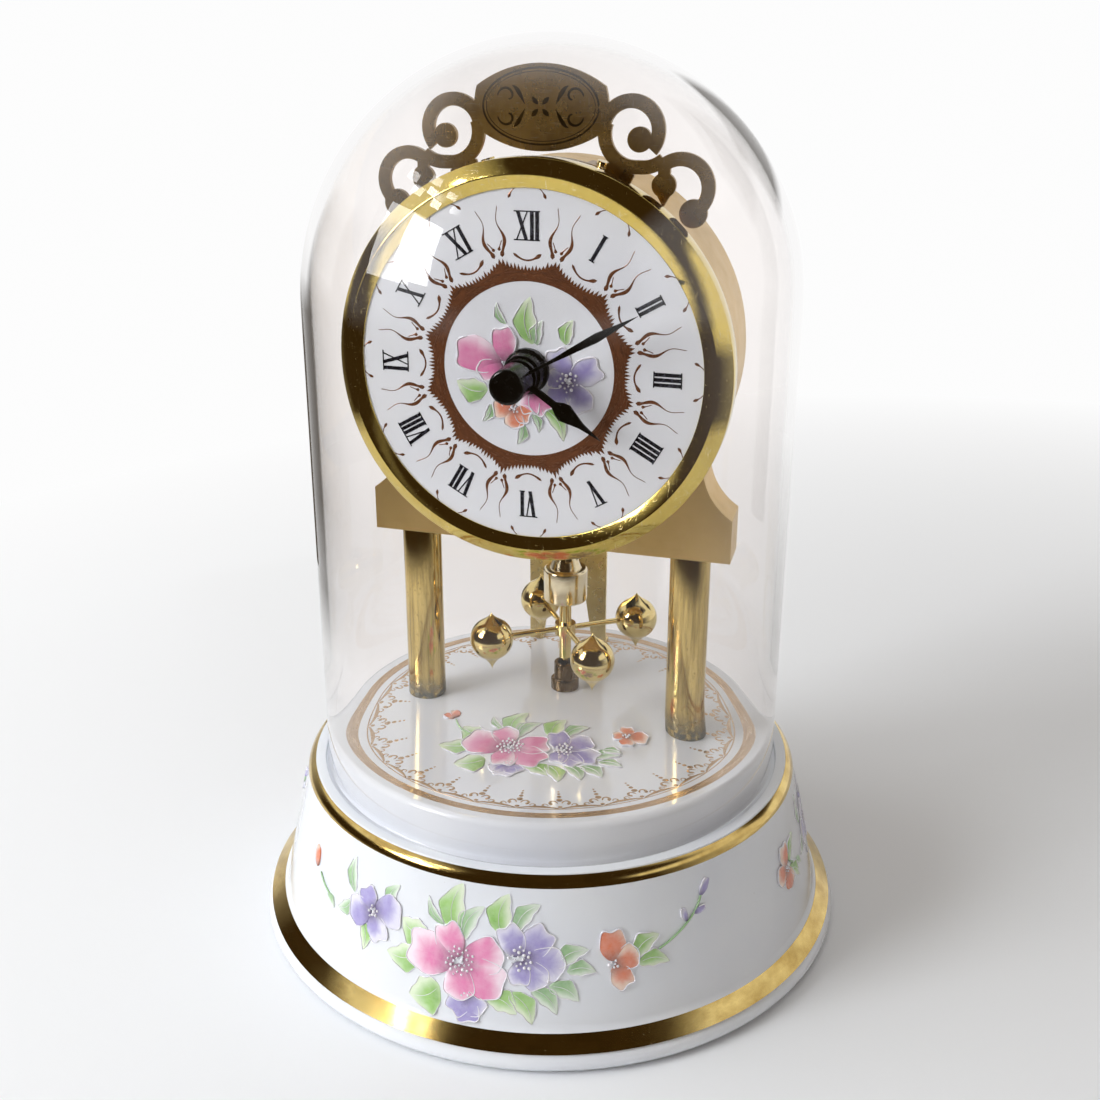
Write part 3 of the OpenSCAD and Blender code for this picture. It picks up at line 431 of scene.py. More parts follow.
def new_group(name, inputs, outputs):
    """An empty node group with named sockets, its tree, and its two end nodes."""
    kinds = {"value": "NodeSocketFloat", "colour": "NodeSocketColor", "vector": "NodeSocketVector"}
    tree = bpy.data.node_groups.new(name, "ShaderNodeTree")
    for side, sockets in (("INPUT", inputs), ("OUTPUT", outputs)):
        for label, kind in sockets.items():
            tree.interface.new_socket(label, in_out=side, socket_type=kinds[kind])
    return tree, tree.nodes.new("NodeGroupInput").outputs, tree.nodes.new("NodeGroupOutput").inputs


def wire(tree, ends, **values):
    """Links each value to the end socket of its name, in which _ stands for a space."""
    for key, value in values.items():
        tree.links.new(value, ends[key.replace("_", " ")])


def bumped(tree, ends, strength, depth, height):
    """Raises a material's surface by a height, to a depth in millimetres."""
    bump = node(tree, "Bump", {"Strength": strength, "Distance": depth * MM, "Height": height})
    wire(tree, ends, Normal=bump.outputs[0])


def surface_mix(tree, share, first, second):
    """Mixes two shaders by a share, as the material's surface."""
    both = node(tree, "MixShader", {0: share, 1: first, 2: second}).outputs[0]
    wire(tree, tree.nodes["Material Output"].inputs, Surface=both)


def use(tree, group, **inputs):
    """Places a group in a material, with its own values."""
    return node(tree, "Group", {key.replace("_", " "): value for key, value in inputs.items()},
                node_tree=group).outputs


def tarnish_group():
    """Cloudy patches of a second colour, with finer specks in them, and a roughness that rises with them."""
    tree, given, wanted = new_group(
        "tarnish", {"Clean": "colour", "Dull": "colour", "Size": "value", "Amount": "value",
                    "Smooth": "value", "Rough": "value"},
        {"Colour": "colour", "Roughness": "value", "Mask": "value"})
    spot = place_of(tree)
    broad = noise_at(tree, spot, given["Size"], 5.0)
    fine = noise_at(tree, spot, times(tree, given["Size"], 6.0), 3.0)
    cloud = plus(tree, ranged(tree, broad, 0.38, 0.68), ranged(tree, fine, 0.55, 0.75, 0.0, 0.4))
    mask = times(tree, node(tree, "Clamp", {0: cloud}).outputs[0], given["Amount"])
    wire(tree, wanted, Colour=mixed(tree, mask, given["Clean"], given["Dull"]))
    spread = maths(tree, "SUBTRACT", given["Rough"], given["Smooth"])
    rise = times(tree, spread, ranged(tree, fine, 0.3, 0.7))
    wire(tree, wanted, Roughness=plus(tree, given["Smooth"], rise), Mask=mask)
    return tree


def wear_group():
    """A mask of outer edges: where the normal of a rounded edge turns away from the face's own."""
    tree, given, wanted = new_group("edge wear", {"Reach": "value", "Amount": "value"}, {"Mask": "value"})
    rounded = node(tree, "Bevel", {"Radius": given["Reach"]}, samples=4).outputs[0]
    own = node(tree, "NewGeometry").outputs["Normal"]
    same = node(tree, "VectorMath", {0: rounded, 1: own}, operation="DOT_PRODUCT").outputs["Value"]
    edge = ranged(tree, same, 0.995, 0.8)
    patchy = clouds(tree, 2.5, 4.0, 0.35, 0.6)
    wire(tree, wanted, Mask=times(tree, times(tree, edge, patchy), given["Amount"]))
    return tree


def scratch_group():
    """Fine straight scratches along two directions, as a mask: noise drawn out along each of them, of
    which only the highest parts are kept."""
    tree, given, wanted = new_group("scratches", {"Size": "value", "Amount": "value"}, {"Mask": "value"})
    found = None
    for stretch in ((14, 1, 1.5), (1.2, 11, 13)):
        lines = noise_at(tree, place_of(tree, stretch), given["Size"], 2.0, distortion=0.4)
        thin = ranged(tree, lines, 0.64, 0.7)
        found = thin if found is None else maths(tree, "MAXIMUM", found, thin)
    wire(tree, wanted, Mask=times(tree, found, given["Amount"]))
    return tree


def grain_group():
    """Fine grain as a height, from noise in coordinates that may be stretched into brushed lines."""
    tree, given, wanted = new_group("grain", {"Stretch": "vector", "Size": "value"}, {"Height": "value"})
    wire(tree, wanted, Height=noise_at(tree, place_of(tree, given["Stretch"]), given["Size"], 3.0, 0.6))
    return tree


def dust_group():
    """A mask of settled dust: upward faces, broken up by noise."""
    tree, given, wanted = new_group("dust", {"Amount": "value"}, {"Mask": "value"})
    up = parts_of(tree, node(tree, "NewGeometry").outputs["Normal"])["Z"]
    lying = ranged(tree, up, 0.5, 1.0)
    specks = clouds(tree, 0.6, 6.0, 0.5, 0.72)
    wire(tree, wanted, Mask=times(tree, times(tree, lying, specks), given["Amount"]))
    return tree


tarnish = tarnish_group()
edge_wear = wear_group()
scratches = scratch_group()
grain = grain_group()
dust = dust_group()


def new_finish(name, **plain):
    """A material with its Principled shader, whose plain values are set on the shader's own sockets."""
    material = bpy.data.materials.new(name)
    material.use_nodes = True
    shader = material.node_tree.nodes["Principled BSDF"]
    for key, value in plain.items():
        shader.inputs[key.replace("_", " ")].default_value = value
    return material, material.node_tree, shader.inputs


def metal(name, clean, dull, rough, smooth=0.12, patch=9.0, amount=0.5, brush=None, brush_depth=0.02,
          scratch=0.25, worn=None, wear=0.0, dusty=0.0):
    """A metal with cloudy tarnish, fine scratches, brushed lines or grain, worn edges and a little dust."""
    material, tree, sockets = new_finish(name, Metallic=1.0)
    patches = use(tree, tarnish, Clean=clean, Dull=dull, Size=lumps_of(patch), Amount=amount,
                  Smooth=smooth, Rough=rough)
    colour = patches["Colour"]
    if wear:
        edge = use(tree, edge_wear, Reach=0.35 * MM, Amount=wear)["Mask"]
        colour = mixed(tree, edge, colour, worn or clean)
    lines = use(tree, scratches, Size=lumps_of(3.0), Amount=scratch)["Mask"]
    colour = mixed(tree, times(tree, lines, 0.4), colour, (1, 0.95, 0.82, 1))
    roughness = plus(tree, patches["Roughness"], times(tree, lines, 0.25))
    if dusty:
        specks = use(tree, dust, Amount=dusty)["Mask"]
        colour = mixed(tree, specks, colour, rgb(205, 198, 185))
        roughness = plus(tree, roughness, times(tree, specks, 0.4))
    wire(tree, sockets, Base_Color=colour, Roughness=roughness)
    height = use(tree, grain, Stretch=brush or (1, 1, 1), Size=lumps_of(1.2))["Height"]
    bumped(tree, sockets, 0.5, brush_depth, height)
    return material


def drawn_tube(name, clean, dull, corroded):
    """Drawn brass tube: fine upright streaks of tarnish, specks of lost lacquer, a corroded grey foot."""
    material, tree, sockets = new_finish(name, Metallic=1.0)
    streaks = ranged(tree, noise(tree, place_of(tree, (1, 1, 0.06)), 0.7, 5.0), 0.42, 0.68)
    specks = clouds(tree, 0.5, 3.0, 0.62, 0.7, 0.0, 0.7)
    above = parts_of(tree, place_of(tree))["Z"]
    low = ranged(tree, above, (platform + 5) * MM, (platform + 1) * MM)
    foot = times(tree, low, clouds(tree, 1.4, 6.0, 0.34, 0.5))
    worn = maths(tree, "MAXIMUM", times(tree, streaks, 0.55), specks)
    wire(tree, sockets, Base_Color=mixed(tree, foot, mixed(tree, worn, clean, dull), corroded))
    roughness = between(tree, worn, 0.09, 0.24)
    wire(tree, sockets, Roughness=plus(tree, roughness, times(tree, foot, 0.3)))
    bumped(tree, sockets, 0.5, 0.012, streaks)
    return material


def plastic(name, colour, dull, smooth=0.35, rough=0.55, texture=0.03, sheen=0.5, worn=0.35):
    """A moulded plastic or enamel: a colour with faint clouds, a fine pitted skin and paler worn edges."""
    material, tree, sockets = new_finish(name, Specular_IOR_Level=sheen)
    patches = use(tree, tarnish, Clean=colour, Dull=dull, Size=lumps_of(5), Amount=0.5, Smooth=smooth,
                  Rough=rough)
    edge = use(tree, edge_wear, Reach=0.25 * MM, Amount=worn)["Mask"]
    specks = use(tree, dust, Amount=0.7 * worn)["Mask"]
    rubbed = mixed(tree, edge, patches["Colour"], tuple(0.35 + 0.5 * level for level in colour[:3]) + (1,))
    wire(tree, sockets, Base_Color=mixed(tree, specks, rubbed, rgb(170, 165, 155)),
         Roughness=patches["Roughness"])
    height = use(tree, grain, Stretch=(1, 1, 1), Size=lumps_of(0.5))["Height"]
    bumped(tree, sockets, 0.6, texture, height)
    return material


def glaze(name, colour, shade, specks=0.3):
    """Glazed porcelain: white with a faint cloud, a slow ripple in the glaze, and rare pinholes."""
    material, tree, sockets = new_finish(name, IOR=1.5, Coat_Weight=0.35, Coat_Roughness=0.03)
    spot = place_of(tree)
    cloud = ranged(tree, noise(tree, spot, 22, 3.0), 0.3, 0.7)
    pores = ranged(tree, noise(tree, spot, 0.5, 2.0), 0.74, 0.8, 0.0, specks)
    body = mixed(tree, cloud, colour, shade)
    wire(tree, sockets, Base_Color=mixed(tree, pores, body, rgb(150, 140, 130)),
         Roughness=ranged(tree, noise(tree, spot, 6, 4.0), 0.3, 0.7, 0.09, 0.16))
    bumped(tree, sockets, 0.4, 0.02, noise(tree, spot, 7, 2.0))
    return material


def gilding(name, bright, deep, smooth, rough, rub=0.35, forward=False, shine=1.0):
    """Burnished gilding: two golds in streaks that a brush left round the piece, rubbed thin in specks where
    the glaze shows."""
    material, tree, sockets = new_finish(name, Coat_Weight=0.2, Coat_Roughness=0.05)
    streaks = ranged(tree, noise_at(tree, round_the(tree, forward, 9.0, 2.6), 1.0, 4.0, 0.6), 0.3, 0.72)
    rubbed = clouds(tree, 0.45, 4.0, 0.68, 0.76, 0.0, rub)
    wire(tree, sockets,
         Base_Color=mixed(tree, rubbed, mixed(tree, streaks, bright, deep), rgb(236, 232, 222)),
         Metallic=between(tree, rubbed, shine, 0.0), Roughness=between(tree, streaks, smooth, rough))
    bumped(tree, sockets, 0.5, 0.012, streaks)
    return material


def painted_finish():
    """Overglaze enamel paint: the piece's own painted colours, washed unevenly like a brush stroke."""
    mottle = 0.18
    material, tree, sockets = new_finish("flower enamel", Coat_Weight=0.5, Coat_Roughness=0.05)
    paint = node(tree, "Attribute", attribute_name="paint").outputs["Color"]
    wash = clouds(tree, 1.3, 5.0, 0.3, 0.75, 0.0, mottle)
    veins = ranged(tree, noise(tree, place_of(tree), 0.35, 2.0, 0.5, 1.5), 0.58, 0.7, 0.0, mottle)
    pale = mixed(tree, wash, paint, (0.9, 0.9, 0.92, 1))
    veined = node(tree, "Mix", {0: veins, 6: pale, 7: paint}, data_type="RGBA", blend_type="MULTIPLY")
    wire(tree, sockets, Base_Color=veined.outputs[2], Roughness=ranged(tree, wash, 0.0, mottle, 0.14, 0.26))
    return material


def white_enamel():
    """Raised white enamel for outlines and stamens, milky and uneven."""
    material, tree, sockets = new_finish("raised white enamel", Coat_Weight=0.5, Coat_Roughness=0.05)
    milky = clouds(tree, 0.8, 4.0, 0.3, 0.7)
    wire(tree, sockets, Base_Color=mixed(tree, milky, rgb(246, 244, 248), rgb(226, 224, 236)),
         Roughness=between(tree, milky, 0.15, 0.3))
    return material


def ink(name, colour, faded):
    """Printed and fired black, a little thin in places."""
    material, tree, sockets = new_finish(name, Coat_Weight=0.4, Coat_Roughness=0.06)
    thin = clouds(tree, 0.5, 5.0, 0.45, 0.75)
    wire(tree, sockets, Base_Color=mixed(tree, thin, colour, faded), Roughness=between(tree, thin, 0.2, 0.4))
    return material


def felt_finish():
    """Pressed wool felt: tangled fibres in two greens, deep and soft, with a sheen."""
    material, tree, sockets = new_finish("green felt", Sheen_Weight=0.4, Sheen_Roughness=0.5)
    spot = place_of(tree)
    fibres = noise(tree, spot, 0.35, 6.0, 0.7, 2.0)
    patchy = ranged(tree, noise(tree, spot, 5.0), 0.3, 0.7)
    colour = mixed(tree, patchy, rgb(38, 82, 54), rgb(58, 104, 70))
    wire(tree, sockets, Base_Color=mixed(tree, ranged(tree, fibres, 0.45, 0.7), colour, rgb(92, 130, 98)),
         Roughness=ranged(tree, fibres, 0.3, 0.7, 0.85, 1.0))
    bumped(tree, sockets, 0.9, 0.2, fibres)
    return material


def leather_finish():
    """Brown leather: pebbled cells with darker creases."""
    material, tree, sockets = new_finish("brown leather")
    cells = node(tree, "TexVoronoi", {"Vector": place_of(tree), "Scale": lumps_of(0.45)},
                 feature="DISTANCE_TO_EDGE").outputs["Distance"]
    crease = ranged(tree, cells, 0.0, 0.15, 1.0, 0.0)
    wire(tree, sockets, Base_Color=mixed(tree, crease, rgb(122, 82, 50), rgb(72, 44, 26)),
         Roughness=ranged(tree, cells, 0.0, 0.4, 0.75, 0.5))
    bumped(tree, sockets, 0.8, 0.08, cells)
    return material


def winding_finish():
    """Enamelled copper wire: fine turns round the coil's length, as a wave across it."""
    material, tree, sockets = new_finish("enamelled copper wire", Metallic=1.0, Coat_Weight=0.5)
    turns = node(tree, "TexWave", {"Vector": place_of(tree), "Scale": lumps_of(0.9), "Distortion": 0.3},
                 bands_direction="Z").outputs["Fac"]
    # the darker copper in the troughs of the wave, in the gaps between the turns, is painted shade
    wire(tree, sockets, Base_Color=mixed(tree, turns, rgb(120, 60, 30), rgb(214, 128, 74)),
         Roughness=between(tree, turns, 0.45, 0.2))
    bumped(tree, sockets, 0.8, 0.05, turns)
    return material


def board_finish():
    """A circuit board's green mask with paler copper tracks under it."""
    material, tree, sockets = new_finish("circuit board mask")
    tracks = node(tree, "TexBrick", {"Vector": place_of(tree), "Scale": lumps_of(14), "Mortar Size": 0.05},
                  offset=0.3).outputs["Fac"]
    wire(tree, sockets, Base_Color=mixed(tree, tracks, rgb(18, 78, 44), rgb(60, 132, 70)),
         Roughness=clouds(tree, 1.0, 4.0, 0.3, 0.7, 0.25, 0.4))
    bumped(tree, sockets, 0.5, 0.05, tracks)
    return material


def jacket_finish():
    """A plain battery jacket: a blue sleeve, silvery towards its upper end, with a shrink-wrap ripple."""
    material, tree, sockets = new_finish("battery jacket", Coat_Weight=0.5, Coat_Roughness=0.1)
    height = parts_of(tree, place_of(tree))["Z"]
    sleeve_end, blur = 124.5 * MM, 0.2 * MM
    sleeve = ranged(tree, height, sleeve_end, sleeve_end + blur)
    mottled = clouds(tree, 3.0, 4.0, 0.3, 0.7)
    blue = mixed(tree, mottled, rgb(44, 78, 128), rgb(58, 94, 142))
    wire(tree, sockets, Base_Color=mixed(tree, sleeve, blue, rgb(196, 198, 202)), Metallic=sleeve,
         Roughness=between(tree, mottled, 0.22, 0.36))
    ripple = noise(tree, place_of(tree, (1, 1, 4)), 2.5, 3.0)
    bumped(tree, sockets, 0.5, 0.06, ripple)
    return material


def glass_finish():
    """Clear blown glass that lets lamps shine through it: a Principled glass, swapped for a plain
    see-through shader on shadow rays, and on rays that something inside has thrown back. A slow ripple
    bends its gloss."""
    # the glass's faint warm base colour is a painted reflection of the warm room, laid over all that is seen
    # through the dome
    material, tree, sockets = new_finish("dome glass", Base_Color=(0.975, 0.953, 0.943, 1), Roughness=0.0,
                                         IOR=1.45, Transmission_Weight=1.0)
    waves = noise(tree, place_of(tree, (1, 1, 0.6)), 38, 1.0)
    bumped(tree, sockets, 0.35, 0.25, waves)
    passing = kind_of_ray(tree, "Is Shadow Ray", "Is Reflection Ray")
    clear = node(tree, "BsdfTransparent", {"Color": (0.963, 0.966, 0.97, 1)}).outputs[0]
    glass = tree.nodes["Principled BSDF"].outputs[0]
    surface_mix(tree, passing, glass, clear)
    return material


# Finishes

porcelain = glaze("glazed porcelain", rgb(233, 236, 241), rgb(226, 230, 239))
dial_glaze = glaze("dial porcelain", rgb(243, 245, 250), rgb(238, 241, 249), specks=0.15)
band_gilt = gilding("burnished gilt band", rgb(224, 196, 124), rgb(178, 146, 80), smooth=0.09, rough=0.2)
print_gilt = gilding("gilt print", rgb(150, 96, 66), rgb(106, 72, 54), rub=0.15, smooth=0.2, rough=0.32,
                     forward=True, shine=0.5)
lace_gilt = gilding("gilt lace", rgb(204, 174, 138), rgb(160, 128, 94), smooth=0.22, rough=0.4, shine=0.7)
numeral_ink = ink("fired black", rgb(22, 24, 32), rgb(58, 60, 72))
flower_paint = painted_finish()
enamel_white = white_enamel()
polished_brass = metal("polished brass", rgb(230, 208, 146), rgb(192, 164, 102), smooth=0.06, rough=0.14,
                       patch=4.0, amount=0.3, scratch=0.3, wear=0.3, worn=rgb(252, 230, 160))
bezel_brass = metal("bezel brass", rgb(226, 200, 110), rgb(196, 166, 84), smooth=0.05, rough=0.12,
                    patch=6.0, amount=0.4, scratch=0.7, wear=0.5, worn=rgb(255, 240, 176))
pillar_brass = drawn_tube("pillar brass", rgb(218, 190, 122), rgb(136, 112, 66), rgb(124, 120, 108))
satin_brass = metal("satin brass", rgb(222, 188, 126), rgb(190, 156, 98), smooth=0.34, rough=0.44,
                    patch=16.0, amount=0.4, brush_depth=0.03, scratch=0.15, wear=0.5,
                    worn=rgb(232, 214, 160), dusty=0.3)
aged_brass = metal("brushed crest brass", rgb(160, 128, 76), rgb(96, 76, 46), smooth=0.22, rough=0.36,
                   patch=12.0, amount=0.6, brush=(1, 1, 24), brush_depth=0.03, scratch=0.2, wear=0.6,
                   worn=rgb(226, 190, 110))
gear_brass = metal("machined gear brass", rgb(226, 192, 104), rgb(180, 144, 70), smooth=0.2, rough=0.34,
                   brush=(12, 1, 1))
pale_brass = metal("pale rolled brass", rgb(226, 206, 150), rgb(200, 172, 110), smooth=0.24, rough=0.36,
                   brush=(14, 1, 1), scratch=0.3, wear=0.4)
dark_brass = metal("darkened brass", rgb(128, 106, 78), rgb(62, 50, 38), smooth=0.14, rough=0.3, wear=0.5,
                   worn=rgb(190, 150, 90))
head_brass = metal("silvery brass", rgb(238, 224, 190), rgb(212, 190, 146), rough=0.22, scratch=0.2,
                   wear=0.4, worn=rgb(250, 240, 205))
steel = metal("plated steel", rgb(196, 198, 202), rgb(150, 150, 152), smooth=0.2, rough=0.36, scratch=0.3)
plate_steel = metal("rolled steel", rgb(176, 178, 182), rgb(128, 128, 130), smooth=0.3, rough=0.45,
                    brush=(1, 1, 16))
magnet_grey = metal("sintered magnet", rgb(92, 92, 96), rgb(62, 62, 66), smooth=0.45, rough=0.6, patch=1.5)
# dark brown for the engraved lines, which stand proud: the filling of the engraving together with painted
# shade of a cut groove
engraving = metal("engraved line", rgb(74, 58, 34), rgb(44, 34, 22), smooth=0.4, rough=0.6, scratch=0.0)
black_enamel = plastic("black enamel", rgb(6, 6, 7), rgb(14, 14, 15), smooth=0.16, rough=0.3,
                       texture=0.01, sheen=0.35, worn=0.12)
black_plastic = plastic("moulded black plastic", rgb(26, 26, 28), rgb(38, 38, 40))
grey_plastic = plastic("moulded grey plastic", rgb(112, 112, 116), rgb(130, 130, 132))
green_felt = felt_finish()
brown_leather = leather_finish()
copper_wire = winding_finish()
circuit_mask = board_finish()
battery_jacket = jacket_finish()
dome_glass = glass_finish()

# Porcelain base, felt and gilt bands

shoulder, shoulder_r, shoulder_end = (45.2, 30.6), 2.8, 64


def base_profile():
    """The stepped base from the middle of its underside, out and round its foot, up the skirt, over the
    shoulder and the dome's groove to the middle of the platform."""
    under = [(0, 36.8), (37.9, 36.8), (37.9, 29.1), (43.3, 29.1), (44.6, 25.7), (49.1, 7.9), (50.5, 4.2),
             (50.5, 0.4)]
    return np.vstack([
        softened(under, 0.8, closed=False),
        arc((55.8, 2.1), 1.7, -90, 40),
        arc((54.9, 7.686), 1.6, 240, 180),
        arc(shoulder, shoulder_r, 0, shoulder_end),
        softened([(46.4, 33.2), (46.3, 33.4), (44.5, 33.4), (44.4, 33.2), (44.4, groove_floor),
                  (platform_r, groove_floor), (platform_r, 34)], 0.15, closed=False),
        arc((platform_r - 1.4, platform - 1.4), 1.4, 0, 90),
        [(0, platform)]])


make("base_porcelain", [turned(base_profile(), steps=FINEST_STEPS)], "works", porcelain,
     ("porcelain_base",))
felt_line = softened([(50.5, 0), (55.8, 0), (55.8, 0.8), (50.5, 0.8)], 0.25)
make("felt_foot_ring", [turned(felt_line, steps=FINEST_STEPS)], "works", green_felt, ("felt_ring",))

BAND = 0.05  # how far a gold band's outer line stands off the glaze, and its inner line lies in it


def gilt_band(outer, inner):
    """A thin band of gold: an outer line of the profile and the same line again just inside the glaze."""
    return turned(np.vstack([outer, inner[::-1]]), steps=FINEST_STEPS)


def platform_ring(inner, outer, slope):
    """A flat gold ring on the platform, whose edges slope down into the glaze."""
    low, high = platform - BAND, platform + 0.03
    return turned([(inner, low), (inner + slope, high), (outer - slope, high), (outer, low)])


foot_line = np.linspace((56.75, 4.02), (54.1, 6.3), 8)
foot_lean = math.radians(41)
foot_out = BAND * np.array([(math.sin(foot_lean), math.cos(foot_lean))])
shoulder_lines = [arc(shoulder, shoulder_r + lift, 16, shoulder_end) for lift in (BAND, -BAND)]
make("gilt_bands", [gilt_band(foot_line + foot_out, foot_line - foot_out), gilt_band(*shoulder_lines)],
     "works", band_gilt)
make("platform_gilt_rings", [platform_ring(36.5, 38.5, 0.1), platform_ring(34.95, 35.25, 0.05)],
     "works", lace_gilt)

# Glass dome


def dome_profile():
    """The dome's wall: up its outside, over the top, down its inside, and round the rim."""
    outer_r, inner_r, centre = 43.8, 42.2, 122.2
    wall = outer_r - inner_r
    foot = groove_floor + wall / 2
    return np.vstack([
        [(outer_r, foot), (outer_r, 60), (outer_r, 90)],
        arc((0, centre), outer_r, 0, 90, 40),
        arc((0, centre), inner_r, 90, 0, 40),
        [(inner_r, 90), (inner_r, 60), (inner_r, foot)],
        arc((inner_r + wall / 2, foot), wall / 2, 180, 360, 6)[1:-1]])


def dome_shape():
    """The dome turned as two shells that meet at the rim: its wall's profile passes over the pole, so the
    outside and the inside each end in a pole of their own."""
    profile = dome_profile()
    top = np.abs(profile[:, 0]) < 1e-6
    profile[top, 0] = 0
    return turned(np.roll(profile, -int(np.argmax(top)) - 1, axis=0), steps=192)


make("blown_dome", [dome_shape()], "dome", dome_glass, ("glass_dome",))

# Pillars, case and bezel

for side, name in ((-1, "left_pillar"), (1, "right_pillar")):
    tube = softened([(3.75, 40.2), (3.75, 76.4), (2.85, 76.4), (2.85, 40.2)], 0.2)
    make(name + "_tube", [turned(tube, (side * pillar_x, pillar_y), 96)], "works", pillar_brass, (name,))

bezel_line = [(30, 15.05), (32.2, 15.9), (34.7, 14.2), (34.7, 10.2), (33.3, 10.2), (33.3, 13.2),
              (31.7, 13.2), (31.7, 14.8), (30, 14.8)]
make("bezel_ring", [turned_forward(softened(bezel_line, 0.14), FINEST_STEPS)], "works", bezel_brass,
     ("bezel",))
dial_line = [(3.6, 13.2), (31.6, 13.2), (31.6, 14.8), (3.6, 14.8)]
make("dial_plate", [turned_forward(softened(dial_line, 0.1), FINEST_STEPS)], "works", dial_glaze,
     ("dial",))
nut_line = [(1.9, 14.8), (3.9, 14.8), (3.9, 16.1), (3.4, 16.1), (3.4, 18.4), (2.35, 18.4), (2.35, 15.6),
            (1.9, 15.6)]
make("dial_nut_ring", [turned_forward(softened(nut_line, 0.16), 96)], "works", black_enamel, ("dial_nut",))
cap_line = [(0, 27.1), (2.65, 27.1), (3, 26.75), (3, 21.4), (0.9, 21.4), (0.9, 23.4), (0, 23.4)]
make("hand_cap_knob", [turned_forward(softened(cap_line, 0.3, closed=False), 96)], "minute", black_enamel,
     ("hand_cap",))

# Pendulum balls and guide cup

ball_r = 4.3
ball_ring = 15.5
ball_height = 53.4
first_ball = 34.9
ball_tip_up, ball_tip_down = 1.4, 2.4


def ball_profile():
    """An onion-shaped ball: a round of the ball's radius between two drawn-out points, each of which
    thins as the 1.6th power of the way that is left."""
    cap = 62
    t = np.linspace(0, 1, 9)[:, None]
    side_r, side_z = ball_r * math.cos(math.radians(cap)), ball_r * math.sin(math.radians(cap))

    def point(reach):
        return np.hstack([side_r * (1 - t) ** 1.6, side_z + (ball_r + reach - side_z) * t])

    low = point(ball_tip_down)[::-1] * (1, -1)
    return np.vstack([low, arc((0, 0), ball_r, -cap, cap, 28)[1:-1], point(ball_tip_up)])


def ball_shape(turn):
    """A ball at the end of the arm at a turn."""
    turn = math.radians(turn)
    place = (ball_ring * math.cos(turn), pendulum_y + ball_ring * math.sin(turn))
    return turned(ball_profile() + (0, ball_height), place, 56)


make("pendulum_ball_ring", [ball_shape(first_ball + 90 * step) for step in range(4)], "pendulum",
     polished_brass, ("pendulum_balls",))
cup_line = softened([(0, 41.6), (1.5, 41.6), (1.5, 46), (2.2, 46), (2.2, 42.4), (2.85, 42.4), (2.85, 40.2),
                     (0, 40.2)], 0.2, closed=False)
make("guide_cup_turned", [turned(cup_line, (0, pendulum_y), 72)], "works", dark_brass, ("guide_cup",))

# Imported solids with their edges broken

for name, finish, width in (
        ("movement_bracket", satin_brass, 0.18), ("case_drum", satin_brass, 0.2),
        ("crest_plate", aged_brass, 0.12), ("backing_plate", plate_steel, 0.1),
        ("hour_hand", black_enamel, 0.08), ("minute_hand", black_enamel, 0.06),
        ("hour_wheel", gear_brass, 0.05), ("motion_wheel", gear_brass, 0.05),
        ("setting_wheel", steel, 0.05), ("setting_knob", grey_plastic, 0.2),
        ("movement_housing", black_plastic, 0.3), ("battery_box", black_plastic, 0.3),
        ("rear_support", pale_brass, 0.15), ("pendulum_head", head_brass, 0.15),
        ("pendulum_rod", polished_brass, 0.12), ("pendulum_arms", polished_brass, 0.08)):
    eased(name, finish, width)

plain_finishes = {
    "tie_rods": steel, "tie_rod_nuts": steel, "tie_rod_washers": brown_leather, "case_bolts": polished_brass,
    "case_nuts": steel, "crest_screws": polished_brass, "minute_arbor": steel, "motion_stud": steel,
    "circuit_board": circuit_mask, "motor_coil": copper_wire, "quartz_crystal": steel,
    "battery_box_screws": steel, "battery": battery_jacket, "battery_contacts": steel,
    "support_screws": polished_brass, "support_foot_bolts": polished_brass, "support_foot_nuts": steel,
    "guide_cup_nut": steel, "pendulum_spindle": steel, "drive_magnet": magnet_grey}
for name, finish in plain_finishes.items():
    shown = frame["nodes"][name]
    shown.data.materials.clear()
    shown.data.materials.append(finish)

# Gilt and black drawing on the dial

numerals = ("XII", "I", "II", "III", "IIII", "V", "VI", "VII", "VIII", "IX", "X", "XI")
numeral_r = 24.0
numeral_tall = 4.8
numeral_widest = 4.6
letter_widths = {"I": 0.88, "V": 2.2, "X": 2.5}
thick, thin = 0.62, 0.22


def letter_bars(letter, left):
    """A letter's bars, each as low middle, high middle and width, from its left side."""
    half, serif = numeral_tall / 2, 0.2
    width = letter_widths[letter]
    middle, right = left + width / 2, left + width
    top = ((middle, half - serif), (middle, half), width * 1.12)
    foot = ((middle, -half), (middle, serif - half), width * 1.12)
    if letter == "I":
        return [((middle, -half), (middle, half), thick), top, foot]
    if letter == "V":
        return [((middle + 0.1, -half), (left + 0.5, half), thick),
                ((middle, -half), (right - 0.35, half), thin), top]
    return [((right - 0.5, -half), (left + 0.5, half), thick),
            ((left + 0.3, -half), (right - 0.3, half), thin), top, foot]


def numeral_bars(hour):
    """One numeral's bars in their place on the dial, their tops outwards."""
    letters = numerals[hour]
    width = sum(letter_widths[letter] for letter in letters)
    squeeze = min(1, numeral_widest / width)
    out = np.array(polar(HOUR_ANGLE * hour, 1.0))
    right = np.array([out[1], -out[0]])
    left = -width / 2
    shapes = []
    for letter in letters:
        for low, high, wide in letter_bars(letter, left):
            corners = [right * (x + side * wide / 2) * squeeze + out * (numeral_r + z)
                       for x, z in (low, high) for side in (-1, 1)]
            shapes.append(bar(*corners, on_dial, lift=0.005 * (len(shapes) % 5)))
        left += letter_widths[letter]
    return shapes


make("dial_numerals", [shape for hour in range(12) for shape in numeral_bars(hour)], "works", numeral_ink)


